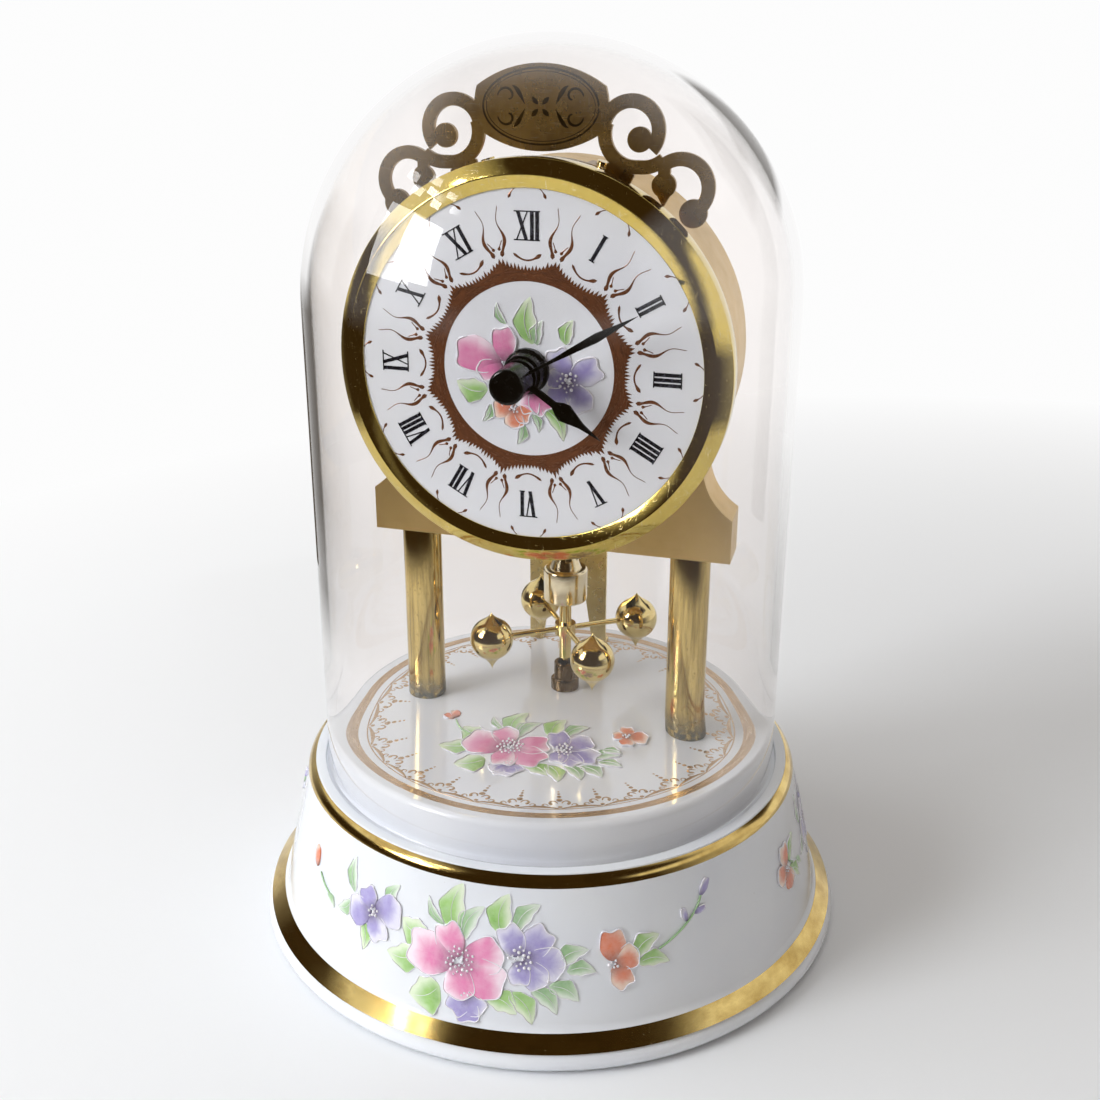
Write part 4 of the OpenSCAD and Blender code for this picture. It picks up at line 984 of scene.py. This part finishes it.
def sunburst():
    """The gilt ring round the flowers: a round inner edge, and an outer edge that rises as a 2.4th power to
    a point between each two hours, and is cut all round into fine spikes of uneven length."""
    spikes, steps = 180, 4
    inner_r, outer_r, point_tall = 14.95, 16.75, 1.7
    inner_slope, outer_slope, rise = 0.05, 0.04, 0.045
    turn = np.arange(spikes * steps) / (spikes * steps) * 360
    to_point = 1 - np.abs(turn / (HOUR_ANGLE / 2) % 2 - 1)
    tooth = 1 - 2 * np.abs(turn * spikes / 360 % 1 - 0.5)
    length = np.repeat(draw.uniform(0.55, 1.15, spikes), steps)
    inner = np.full_like(turn, inner_r)
    outer = outer_r + point_tall * to_point ** 2.4 + length * tooth
    radius = np.stack([inner, inner + inner_slope, outer - outer_slope, outer], 0)
    lift = np.broadcast_to(np.array([-SINK, rise, rise, -SINK])[:, None], radius.shape)
    flat = polar(turn[None], radius)
    return grid_shape(on_dial(flat[..., 0], flat[..., 1], lift), closed=True)


def flourish(hour, side):
    """The S-shaped stroke beside a numeral: a comma head near the ring that thins as it swings out to the
    rim, with a small lobe curling away from it."""
    head_r, stem_long, lobe_r, lobe_long = 19.2, 8.4, 20.3, 1.7
    t = np.linspace(0, 1, 26)
    swing = 11.4 + 1.5 * np.cos(2.8 * np.pi * t) * (1 - 0.6 * t)
    stem = polar(HOUR_ANGLE * hour + side * swing, head_r + stem_long * t)
    width = 0.07 + 0.27 * np.exp(-((t - 0.06) / 0.05) ** 2) + 0.24 * np.exp(-((t - 0.3) / 0.2) ** 2)
    s = np.linspace(0, 1, 10)
    away = 13.9 - 1.2 * np.sin(1.4 * s) - 1.3 * s ** 2
    lobe = polar(HOUR_ANGLE * hour + side * away, lobe_r + lobe_long * s)
    lobe_width = 0.08 + 0.22 * np.exp(-((s - 0.14) / 0.16) ** 2)
    return [stroke(stem, width, on_dial), stroke(lobe, lobe_width, on_dial, lift=0.004)]


def smile(hour):
    """The shallow arc under a numeral, thicker at one end."""
    middle_r, half_turn, sag = 18.4, 7.2, 1.3
    t = np.linspace(-1, 1, 18)
    path = polar(HOUR_ANGLE * hour + half_turn * t, middle_r + sag * t ** 2)
    width = 0.15 + 0.19 * np.exp(-((t - 0.78) / 0.16) ** 2) + 0.07 * np.exp(-((t + 0.8) / 0.2) ** 2)
    return stroke(path, width, on_dial)


def rim_comma(hour, side):
    """A small comma that hangs from the rim beside a numeral."""
    rim_r, drop = 29.95, 1.5
    t = np.linspace(0, 1, 10)
    path = polar(HOUR_ANGLE * hour + side * (3.9 + 2.6 * t), rim_r - drop * t ** 1.6)
    return stroke(path, 0.08 + 0.19 * np.exp(-((t - 0.8) / 0.16) ** 2), on_dial)


both_sides = [(hour, side) for hour in range(12) for side in (-1, 1)]
make("dial_gilt_drawing",
     [sunburst()] + [part for hour, side in both_sides for part in flourish(hour, side)]
     + [smile(hour) for hour in range(12)] + [rim_comma(hour, side) for hour, side in both_sides],
     "works", print_gilt)

# Gilt lace on the platform


def lace_repeat(turn, step):
    """One repeat of the lace border: a garland that dips between two tips, two pairs of curls under the tip,
    a bead, and dots that grow smaller towards the middle."""
    tip_r, dip = 35.0, 0.8
    t = np.linspace(0, 1, 16)
    width = 0.16 + 0.2 * np.sin(np.pi * t) ** 2
    shapes = [stroke(polar(turn + step * t, tip_r - dip * np.sin(np.pi * t) ** 0.8), width, on_disc)]
    curl = np.linspace(0, 1, 14)
    for side in (-1, 1):
        for out, middle_r, size in ((2.0, 33.1, 1.0), (4.4, 33.9, 0.7)):
            spin = 4.6 * curl
            path = polar(turn + side * (out - 1.35 * size * np.cos(spin) * (1 - 0.4 * curl)),
                         middle_r - size * np.sin(spin) * (1 - 0.35 * curl) - 0.5 * size * curl)
            shapes.append(stroke(path, size * (0.15 + 0.26 * curl ** 2), on_disc, lift=0.004))
    for radius, size in ((34.3, 0.42), (31.7, 0.58), (30.5, 0.42), (29.5, 0.3), (28.7, 0.22)):
        angle = np.linspace(0, 360, 10, endpoint=False)
        centre = polar(turn, radius)
        shapes.append(mound(centre + polar(angle, size), centre, on_disc, shares=(0, 0.7, 1))[0])
    return shapes


lace_repeats = 29
lace_step = 360 / lace_repeats
make("platform_gilt_lace",
     [part for place in range(lace_repeats) for part in lace_repeat(place * lace_step, lace_step)],
     "works", lace_gilt)

# Painted flowers


def paints(*colours):
    """A pale, a full and a dark paint from three colours as they look in a picture."""
    return [np.array(rgb(*colour)[:3]) for colour in colours]


pink = paints((250, 226, 240), (228, 130, 178), (110, 50, 88))
violet = paints((224, 222, 242), (158, 148, 206), (66, 44, 92))
orange = paints((248, 218, 200), (228, 126, 88), (140, 84, 70))
green = paints((222, 236, 206), (152, 200, 108), (104, 156, 72))
blue_green = paints((222, 234, 220), (152, 192, 138), (108, 152, 108))


def washed(colours, to_pale, to_dark):
    """Full paint that is washed to the pale by one share and then to the dark by another."""
    pale, full, dark = colours
    to_pale, to_dark = to_pale[..., None], to_dark[..., None]
    return (full * (1 - to_pale) + pale * to_pale) * (1 - to_dark) + dark * to_dark


def way_out(flat, heart, outline):
    """How far places lie from a mound's heart, as a share of the way to its outline."""
    return np.linalg.norm(flat - heart, axis=-1) / np.linalg.norm(outline - heart, axis=-1)


class Spray:
    """A spray of painted flowers and leaves: closed low mounds with painted colours, and raised white
    outlines and dots, all laid on one surface."""

    def __init__(self, place, scale=1.0, relief=0.7):
        self.place = place
        self.scale = scale
        self.relief = relief
        self.lift = 0.0
        self.mounds = []
        self.paints = []
        self.whites = []

    def add_mound(self, outline, heart, colour_at, rise=0.1):
        """Adds one mound, each a little higher than the one before, so that later ones lie on top."""
        self.lift += 0.006
        (points, faces), flat = mound(outline * self.scale, np.asarray(heart) * self.scale, self.place,
                                      self.lift, rise)
        paint = colour_at(flat / self.scale)
        self.mounds.append((points, faces))
        self.paints.append(np.vstack([paint[:1, 0], paint[1:-1].reshape(-1, 3), paint[-1:, 0]]))

    def add_white(self, path, width=0.17):
        """Adds a raised white line that swells in its middle."""
        t = np.linspace(0, 1, len(path))
        swell = width * self.scale * (0.35 + 0.65 * np.sin(np.pi * t) ** 0.7) * self.relief
        self.whites.append(stroke(path * self.scale, swell, self.place, lift=self.lift + 0.05,
                                  rise=0.16 * self.relief))

    def petal(self, centre, angle, reach, width, colours, notch=0.09, edge=0.9):
        """A petal from a flower's centre, as an oval that is fuller towards its tip, with a notch in the tip
        and five small waves round it. Its colour runs from the flower's dark middle through full colour to a
        pale rim, and a raised white line follows a part of the rim."""
        centre = np.array(centre, float)
        turn = math.radians(angle)
        out = np.array([math.cos(turn), math.sin(turn)])
        across = np.array([-out[1], out[0]])
        rim_steps = 40
        spin = np.linspace(0, TURN, rim_steps, endpoint=False)
        ruffle = 1 + 0.04 * np.sin(5 * spin + draw.uniform(0, 6))
        along = 0.55 - 0.47 * np.cos(spin) - notch * np.exp(-((spin - np.pi) / 0.5) ** 2)
        sideways = np.sin(spin) * (0.78 + 0.24 * np.sin(spin / 2) ** 2)
        outline = centre + ruffle[:, None] * (reach * along[:, None] * out
                                              + width / 2 * sideways[:, None] * across)
        heart = centre + 0.55 * reach * out
        side_light = draw.choice((-1.0, 1.0)) * draw.uniform(0.6, 1.1)
        brush = np.cumsum(draw.normal(0, 0.1, rim_steps))
        brush -= np.linspace(brush[0], brush[-1], rim_steps)

        def colour_at(flat):
            local = flat - centre
            far = (local @ out) / reach
            beside = (local @ across) / width
            to_rim = way_out(flat, heart, outline)
            light = (0.7 * (far - 0.5) + 1.3 * side_light * beside + 0.9 * (to_rim ** 2 - 0.4)
                     + 1.4 * brush * to_rim)
            to_dark = np.clip(1 - (far - 0.05) / 0.42, 0, 1) ** 1.2
            return washed(colours, np.clip(light + 0.2, 0, 1), to_dark)

        self.add_mound(outline, heart, colour_at)
        start = draw.integers(5, 10)
        rim = np.arange(start, start + int(rim_steps * edge * draw.uniform(0.6, 0.9)))
        self.add_white(outline[rim % rim_steps])

    def heart(self, centre, size, dots):
        """A flower's stamens: white dots scattered evenly by the golden angle over its dark middle."""
        step = np.arange(dots)
        turn = 2.4 * step  # the golden angle, in radians
        radius = size * np.sqrt((step + 0.5) / dots)
        spots = np.array(centre) + np.stack([radius * np.cos(turn), radius * np.sin(turn)], -1)
        angle = np.linspace(0, 360, 8, endpoint=False)
        for spot, dot in zip(spots, draw.uniform(0.16, 0.32, dots)):
            self.whites.append(mound((spot + polar(angle, dot)) * self.scale, spot * self.scale, self.place,
                                     self.lift + 0.1, 0.16, (0, 0.7, 1))[0])

    def flower(self, centre, petals, colours, broad, stamens):
        """A flower: its petals, given as angle and reach, with short ones a little broader, then its
        stamens, given as the size of their patch and their number."""
        for angle, reach in petals:
            self.petal(centre, angle, reach, reach * broad * (1 if reach > 5 else 1.15), colours)
        self.heart(centre, *stamens)

    def leaf(self, base, tip, width, colours, vein=True):
        """A leaf from base to tip: its half width is the 0.85th power of a sine whose way along is itself
        the 0.8th power, with small waves. It is bent sideways as a half sine, darker at its base and paler
        towards its tip and rim, and may have a raised white spine and edges."""
        bend = 0.15
        base, tip = np.array(base, float), np.array(tip, float)
        length = np.linalg.norm(tip - base)
        out = (tip - base) / length
        across = np.array([-out[1], out[0]])
        spin = np.linspace(0, TURN, 36, endpoint=False)
        along = (1 - np.cos(spin)) / 2
        half = np.sin(np.pi * along ** 0.8) ** 0.85 * np.sign(np.sin(spin))
        half = half * (1 + 0.09 * np.sin(16 * along))
        bent = bend * length * np.sin(np.pi * along)
        outline = base + length * along[:, None] * out + (width / 2 * half + bent)[:, None] * across
        heart = base + 0.45 * length * out + bend * length * across

        def colour_at(flat):
            local = flat - base
            far = np.clip((local @ out) / length, 0, 1)
            beside = ((local @ across) - bend * length * np.sin(np.pi * far)) / width
            to_rim = way_out(flat, heart, outline)
            to_dark = np.clip(0.8 - 2.0 * far + beside, 0, 1) * (1 - to_rim ** 3)
            to_pale = np.clip(0.9 * far - 1.2 * beside + 1.1 * (to_rim ** 2 - 0.5), 0, 1)
            return washed(colours, to_pale, to_dark)

        self.add_mound(outline, heart, colour_at, 0.08)
        if vein:
            self.add_white(outline[np.arange(19, 35)], 0.13)
            self.add_white(outline[np.arange(4, 15)], 0.09)
            s = np.linspace(0.08, 0.9, 12)[:, None]
            self.add_white(base + length * s * out + bend * length * np.sin(np.pi * s) * across, 0.07)

    def stem(self, path):
        """A thin painted stem along a few points, smoothed by a cubic near them."""
        path = np.array(path, float)
        t = np.linspace(0, 1, len(path))
        smooth = np.polynomial.polynomial.polyfit(t, path, min(3, len(path) - 1))
        s = np.linspace(0, 1, 22)
        curve = np.polynomial.polynomial.polyval(s, smooth).T
        shape = stroke(curve * self.scale, 0.17 * self.scale, self.place, lift=self.lift, rise=0.07)
        self.mounds.append(shape)
        self.paints.append(np.tile(blue_green[1], (len(shape[0]), 1)))

    def bud(self, base, tip, width, colours):
        """A closed bud, as a narrow petal."""
        base, tip = np.array(base, float), np.array(tip, float)
        reach = np.linalg.norm(tip - base)
        angle = math.degrees(math.atan2(*(tip - base)[::-1]))
        self.petal(base, angle, reach, width, colours, notch=0.0, edge=0.5)

    def finish(self, name):
        """Makes the painted piece and the white piece."""
        make(name + "_paint", self.mounds, "works", flower_paint, sharp=PAINT_SHARP_ANGLE,
             paint=np.vstack(self.paints))
        make(name + "_raised_white", self.whites, "works", enamel_white, sharp=PAINT_SHARP_ANGLE)


def main_spray(spray, at):
    """The spray used on the skirt and the platform: a pink flower in the middle, violets on both sides and
    below, an orange flower at each end, and leaves behind them."""
    for base, tip, width in (
            ((-3, 22), (-1.8, 31), 5.0), ((-1.5, 21), (2.4, 27.5), 3.4), ((-5, 23), (-8.4, 27.4), 1.7),
            ((5.5, 23), (6.8, 30.2), 4.6), ((8, 24), (12.4, 28.6), 3.2), ((-8, 20), (-13.4, 22.0), 5.2),
            ((-9, 17), (-16, 15.0), 5.0), ((-5, 12), (-10.5, 9.0), 6.4), ((3.5, 12), (8.6, 9.2), 4.2),
            ((7.5, 13), (11.2, 7.6), 3.6), ((11, 14), (15.3, 9.4), 3.2), ((14, 14.5), (19.0, 11.6), 3.4),
            ((15, 18), (20.8, 20.6), 3.4), ((17, 17), (22.0, 16.6), 2.8)):
        spray.leaf(at(base), at(tip), width, blue_green if width < 3.5 else green)
    spray.flower(at((0, 11.5)), [(-128, 4.4), (-88, 4.9), (-48, 4.2)], violet, 0.9, (0.9, 5))
    spray.flower(at((9.1, 19)), [(117, 6.6), (50, 7.4), (-8, 8.0), (-50, 6.4), (-95, 4.8)], violet, 0.8,
                 (2.2, 20))
    spray.flower(at((-1.6, 17.3)), [(120, 7.2), (178, 10.4), (20, 8.4), (-28, 9.2), (-88, 7.2)], pink, 0.84,
                 (2.7, 30))


def skirt_spray(place, front):
    """The skirt's whole spray, with its outer flowers, buds and stems: the front one starts in a bud, and
    the others start in an orange flower."""
    spray = Spray(place)
    for base, tip, width, colours in (
            ((-25.5, 22), (-26.2, 28.6), 2.8, blue_green), ((-26, 20), (-29.6, 17.4), 2.6, blue_green),
            ((-22.5, 18), (-21.4, 12.8), 2.6, green), ((-17, 22.5), (-14.6, 27.4), 2.6, blue_green)):
        spray.leaf(base, tip, width, colours)
    main_spray(spray, lambda point: point)
    spray.flower((-20.1, 20.7), [(127, 4.6), (199, 6.4), (-63, 5.6), (18, 7.0)], violet, 0.95, (1.2, 9))
    spray.stem([(-31.0, 17.9), (-34.5, 19.0), (-37.0, 20.6)])
    spray.leaf((-33.2, 18.2), (-30.6, 16.6), 1.3, blue_green, vein=False)
    if front:
        spray.bud((-38.6, 20.4), (-39.6, 24.4), 2.2, orange)
    else:
        spray.leaf((-37.0, 20.6), (-33.2, 24.4), 2.6, green)
        spray.leaf((-37.0, 18.8), (-33.0, 15.4), 2.8, green)
        spray.flower((-38.6, 19.8), [(96, 5.2), (186, 4.4), (-70, 4.6)], orange, 0.85, (0.9, 6))
    spray.leaf((28.6, 18.4), (33.6, 21.4), 3.6, green)
    spray.leaf((29.4, 17.2), (35.2, 16.2), 3.0, green)
    spray.flower((25.0, 17.7), [(90, 6.2), (18, 5.0), (-62, 5.2)], orange, 0.85, (0.9, 6))
    spray.stem([(32.9, 18.6), (37.6, 20.8), (41.2, 23.6), (43.2, 27.2)])
    for base, tip, width in (((39.2, 22.0), (38.6, 24.6), 1.5), ((40.6, 23.2), (43.4, 23.6), 1.4),
                             ((42.4, 25.6), (44.6, 28.4), 1.7)):
        spray.bud(base, tip, width, violet)
    return spray


for number in range(3):
    turn = number * TURN / 3
    spray = skirt_spray(lambda around, up, lift: on_skirt(turn, around, up, lift), number == 0)
    spray.finish("skirt_spray_%d" % (number + 1))


def disc_place(point):
    """A place of the main spray, moved onto the front of the platform."""
    return (point[0] - 2.4, point[1] - 33.6)


platform_spray = Spray(on_disc, scale=0.92)
main_spray(platform_spray, disc_place)
platform_spray.bud((-18.4, -9.2), (-19.6, -6.2), 2.4, orange)
platform_spray.bud((-18.4, -9.2), (-21.2, -8.4), 2.2, orange)
platform_spray.stem([(-13.4, -13.6), (-16, -12.4), (-18.2, -9.6)])
platform_spray.flower((18.0, -6.0), [(100, 3.4), (10, 4.6), (-80, 3.4), (190, 3.0)], orange, 0.9, (0.8, 5))
platform_spray.leaf((14.4, -12.4), (18.4, -12.4), 2.4, blue_green)
platform_spray.finish("platform_spray")


def dial_spray():
    """The dial's own round spray behind the hands' hub."""
    spray = Spray(on_dial, relief=1.0)
    for base, tip, width in (((0.8, 4.5), (0.5, 12.5), 4.0), ((1.6, 4.4), (2.6, 8.6), 2.2),
                             ((-3.8, 7.6), (-5.4, 11.2), 1.4), ((-7.2, -4.0), (-12.8, -2.6), 4.4),
                             ((-6.6, -6.4), (-8.2, -9.6), 1.6), ((-1.0, -9.3), (-1.9, -13.2), 1.9),
                             ((0.8, -7.4), (2.0, -10.8), 1.6), ((2.7, -6.2), (6.4, -12.0), 2.8),
                             ((6.6, 4.8), (7.9, 9.0), 2.6)):
        spray.leaf(base, tip, width, green if width > 2.5 else blue_green)
    spray.flower((0.4, -3.6), [(-48, 4.8), (-90, 4.2)], pink, 0.8, (0.4, 1))
    spray.flower((-2.5, -6.9), [(178, 3.9), (-88, 3.6), (-24, 3.4), (128, 2.8)], orange, 0.95, (0.9, 7))
    spray.flower((7.1, -1.5), [(116, 6.2), (30, 6.6), (-55, 6.2), (-122, 5.0), (170, 4.0)], violet, 0.8,
                 (1.9, 18))
    spray.flower((-4.0, 0.8), [(200, 5.4), (92, 6.6), (165, 9.4)], pink, 0.72, (0.8, 4))
    return spray


dial_spray().finish("dial_spray")

# Engraving on the crest plate, as raised lines whose dark colour is the groove's filling and painted shade
# of the cut groove


def engraved_plaque():
    """A plain engraved ornament for the plaque: an oval of two lines, a small four-petalled flower in the
    middle, and a leafy scroll mirrored left and right, up and down."""
    middle, rise = 154.4, 0.03
    spin = np.linspace(0, TURN, 97)
    shapes = []
    for wide, tall, width in ((9.8, 5.9, 0.16), (9.25, 5.4, 0.07)):
        oval = np.stack([wide * np.cos(spin), middle + tall * np.sin(spin)], -1)
        shapes.append(stroke(oval, width, on_plaque, rise=rise))
    for quarter in range(4):
        angle = math.radians(45 + 90 * quarter)
        t = np.linspace(0, 1, 12)
        reach = 0.5 + 1.6 * t
        path = np.stack([reach * math.cos(angle), middle + reach * math.sin(angle)], -1)
        shapes.append(stroke(path, 0.34 * np.sin(np.pi * t) + 0.05, on_plaque, rise=rise))
    for side in (-1, 1):
        for flip in (-1, 1):
            t = np.linspace(0, 1, 30)
            spiral = 4.4 * t
            radius = 1.7 * (1 - 0.75 * t)
            curl = np.stack([side * (5.6 + radius * np.cos(spiral)),
                             middle + flip * (1.55 + radius * np.sin(spiral))], -1)
            shapes.append(stroke(curl, 0.11 + 0.1 * np.sin(np.pi * t), on_plaque, rise=rise))
            leaf = np.stack([side * (2.6 + 2.2 * t), middle + flip * (0.3 + 2.9 * np.sin(1.5 * t))], -1)
            shapes.append(stroke(leaf, 0.3 * np.sin(np.pi * t) ** 1.5 + 0.06, on_plaque, rise=rise))
    return shapes


# the lines stand a little proud and are painted dark: filled engraving, with the shade of a cut groove
# painted in
make("plaque_engraving", engraved_plaque(), "works", engraving)

# Table, dark room, light and camera


def stage_mesh(name, corners, turns=1):
    """Flat quads of the stage, from their corners in millimetres: the first map coordinate runs once along a
    row of the given number of quads, and the second from the low side of each quad to its high side."""
    mesh = bpy.data.meshes.new(name)
    faces = np.arange(len(corners)).reshape(-1, 4).tolist()
    mesh.from_pydata((np.array(corners, float) * MM).tolist(), [], faces)
    number = np.repeat(np.arange(len(faces)) % turns, 4)
    square = np.tile([(0, 0), (1, 0), (1, 1), (0, 1)], (len(faces), 1)).astype(float)
    square[:, 0] = (square[:, 0] + number) / turns
    mesh.uv_layers.new(name="place on sheet").data.foreach_set("uv", square.ravel())
    sheet = bpy.data.objects.new(name, mesh)
    scene.collection.objects.link(sheet)
    return sheet


def through_glass(tree):
    """What the white surroundings gain in brightness for rays that come through the dome."""
    return times(tree, kind_of_ray(tree, "Is Transmission Ray"), 0.12)


def table_top():
    """A pale table that takes the clock's shadow, and fades to the white of the background far out."""
    half, fade_start, fade_end = 2500, 170 * MM, 450 * MM
    top = stage_mesh("table_top", [(-half, -half, 0), (half, -half, 0), (half, half, 0), (-half, half, 0)])
    material, tree = new_finish("pale table", Base_Color=rgb(238, 240, 244), Roughness=0.55,
                                Specular_IOR_Level=0.2)[:2]
    spot = node(tree, "Mapping", {"Vector": place_of(tree), "Location": (-0.15, 0.02, 0)}).outputs[0]
    far = ranged(tree, length_of(tree, spot), fade_start, fade_end)
    shown = kind_of_ray(tree, "Is Camera Ray", "Is Glossy Ray", "Is Transmission Ray")
    strength = plus(tree, times(tree, shown, 0.98), through_glass(tree))
    glow = node(tree, "Emission", {"Strength": strength}).outputs[0]
    surface_mix(tree, far, tree.nodes["Principled BSDF"].outputs[0], glow)
    top.data.materials.append(material)


def seen_in_gloss_only(name, corners, colour, strength, soft, turns=1):
    """A sheet that shows in reflections alone, with a plain glow that fades out over a soft share of it at
    each edge: rays that pass through glass also count as glossy, so it is kept for those thrown back."""
    sheet = stage_mesh(name, corners, turns)
    sheet.visible_camera = sheet.visible_diffuse = sheet.visible_shadow = False
    material, tree = new_finish(name)[:2]
    tree.nodes.remove(tree.nodes["Principled BSDF"])
    glow = node(tree, "Emission", {"Color": colour, "Strength": strength}).outputs[0]
    rays = node(tree, "LightPath").outputs
    thrown = times(tree, rays["Is Glossy Ray"], rays["Is Reflection Ray"])
    part = parts_of(tree, node(tree, "TexCoord").outputs["UV"])
    for along in (part[0], part[1]):
        to_edge = maths(tree, "MINIMUM", along, maths(tree, "SUBTRACT", 1.0, along))
        thrown = times(tree, thrown, ranged(tree, to_edge, 0.0, soft))
    clear = node(tree, "BsdfTransparent").outputs[0]
    surface_mix(tree, thrown, clear, glow)
    sheet.data.materials.append(material)


def upright(x0, y0, x1, y1, low, high):
    """The corners of an upright quad over a line on the table."""
    return [(x0, y0, low), (x1, y1, low), (x1, y1, high), (x0, y0, high)]


table_top()
room_brown = rgb(62, 50, 34)
dark_room = {
    "room_ceiling": [(-330, -860, 520), (600, -860, 520), (600, 150, 520), (-330, 150, 520)],
    "room_front": upright(-480, -520, 760, -520, 60, 800),
    "room_left": upright(-700, -350, -700, 80, -300, 450),
    "low_back": upright(-160, 120, -110, 170, -60, 100),
    "room_back_right": upright(220, 500, 800, 500, 330, 760)}
for name, corners in dark_room.items():
    seen_in_gloss_only(name, corners, room_brown, 1.0, 0.16)


def fence(quads):
    """The dark that stands past the table's near edge, as a low fence of quads round the clock."""
    radius, start, end, high = 205, -140, 105, 125
    turn = np.radians(np.linspace(start, end, quads + 1))
    spots = np.stack([radius * np.sin(turn), -radius * np.cos(turn)], -1)
    return [corner for here, there in zip(spots[:-1], spots[1:])
            for corner in upright(*here, *there, 0, high)]


fence_quads = 24
seen_in_gloss_only("dark_past_the_table", fence(fence_quads), room_brown, 1.0, 0.2, fence_quads)


def window_pane(towards, wide, tall):
    """An upright pane, far off in a direction from the dome's upper left."""
    seen_from, away, up = np.array((-8, -40, 136)), 900, np.array((0, 0, 1))
    middle = seen_from + away * np.array(towards) / np.linalg.norm(towards)
    across = np.cross(towards, up) / np.linalg.norm(np.cross(towards, up))
    return [middle + side * wide / 2 * across + rise * tall / 2 * up
            for side, rise in ((-1, -1), (1, -1), (1, 1), (-1, 1))]


panes = [corner for towards in ((-0.631, -0.388, 0.672), (-0.505, -0.502, 0.702), (-0.608, -0.482, 0.631),
                                (-0.476, -0.6, 0.643)) for corner in window_pane(towards, 80, 60)]
seen_in_gloss_only("window_panes", panes, WHITE, 18.0, 0.02)
seen_in_gloss_only("open_window", window_pane((-0.718, -0.598, 0.375), 300, 400), WHITE, 22.0, 0.015)


def lamp(name, place, target, size, power, colour):
    """A rectangular soft lamp at a place, turned to its target, that no reflection shows."""
    light = bpy.data.lights.new(name, "AREA")
    light.shape = "RECTANGLE"
    light.size, light.size_y = size[0] * MM, size[1] * MM
    light.energy = power
    light.color = colour
    lamp_object = bpy.data.objects.new(name, light)
    scene.collection.objects.link(lamp_object)
    start, end = Vector(place) * MM, Vector(target) * MM
    lamp_object.location = start
    lamp_object.rotation_euler = (end - start).to_track_quat("-Z", "Y").to_euler()
    lamp_object.visible_glossy = False


day_blue = (0.97, 0.99, 1.0)
room_warm = (1.0, 0.9, 0.78)
lamp("window", (-625, -560, 462), (-9, -40, 136), (345, 455), 6.5, day_blue)
lamp("ceiling", (-250, 100, 1300), (0, 0, 80), (1400, 1400), 4.7, day_blue)
lamp("left_wash", (-1100, -250, 620), (0, 0, 60), (800, 800), 5.2, day_blue)
lamp("right_fill", (800, -500, 400), (0, 0, 90), (700, 700), 0.4, room_warm)

world = bpy.data.worlds.new("studio")
scene.world = world
world.use_nodes = True
around = world.node_tree
seen = kind_of_ray(around, "Is Camera Ray", "Is Glossy Ray", "Is Transmission Ray")
brightness = plus(around, between(around, seen, 0.27, 0.98), through_glass(around))
wire(around, around.nodes["Background"].inputs, Strength=brightness,
     Color=mixed(around, seen, room_warm + (1,), WHITE))

camera_data = bpy.data.cameras.new("camera")
camera_data.lens = 45.29
camera_data.sensor_width = 36
camera_data.clip_start = 0.02
camera = bpy.data.objects.new("camera", camera_data)
scene.collection.objects.link(camera)
view_azimuth, view_pitch, view_roll = math.radians(15.97), math.radians(21.42), math.radians(0.12)
camera.rotation_euler = (Matrix.Rotation(view_azimuth, 3, "Z")
                         @ Matrix.Rotation(math.pi / 2 - view_pitch, 3, "X")
                         @ Matrix.Rotation(view_roll, 3, "Z")).to_euler()
camera_place = (66.93, -234.76, 169.72)
camera.location = Vector(camera_place) * MM
scene.camera = camera
scene.view_settings.view_transform = "Standard"
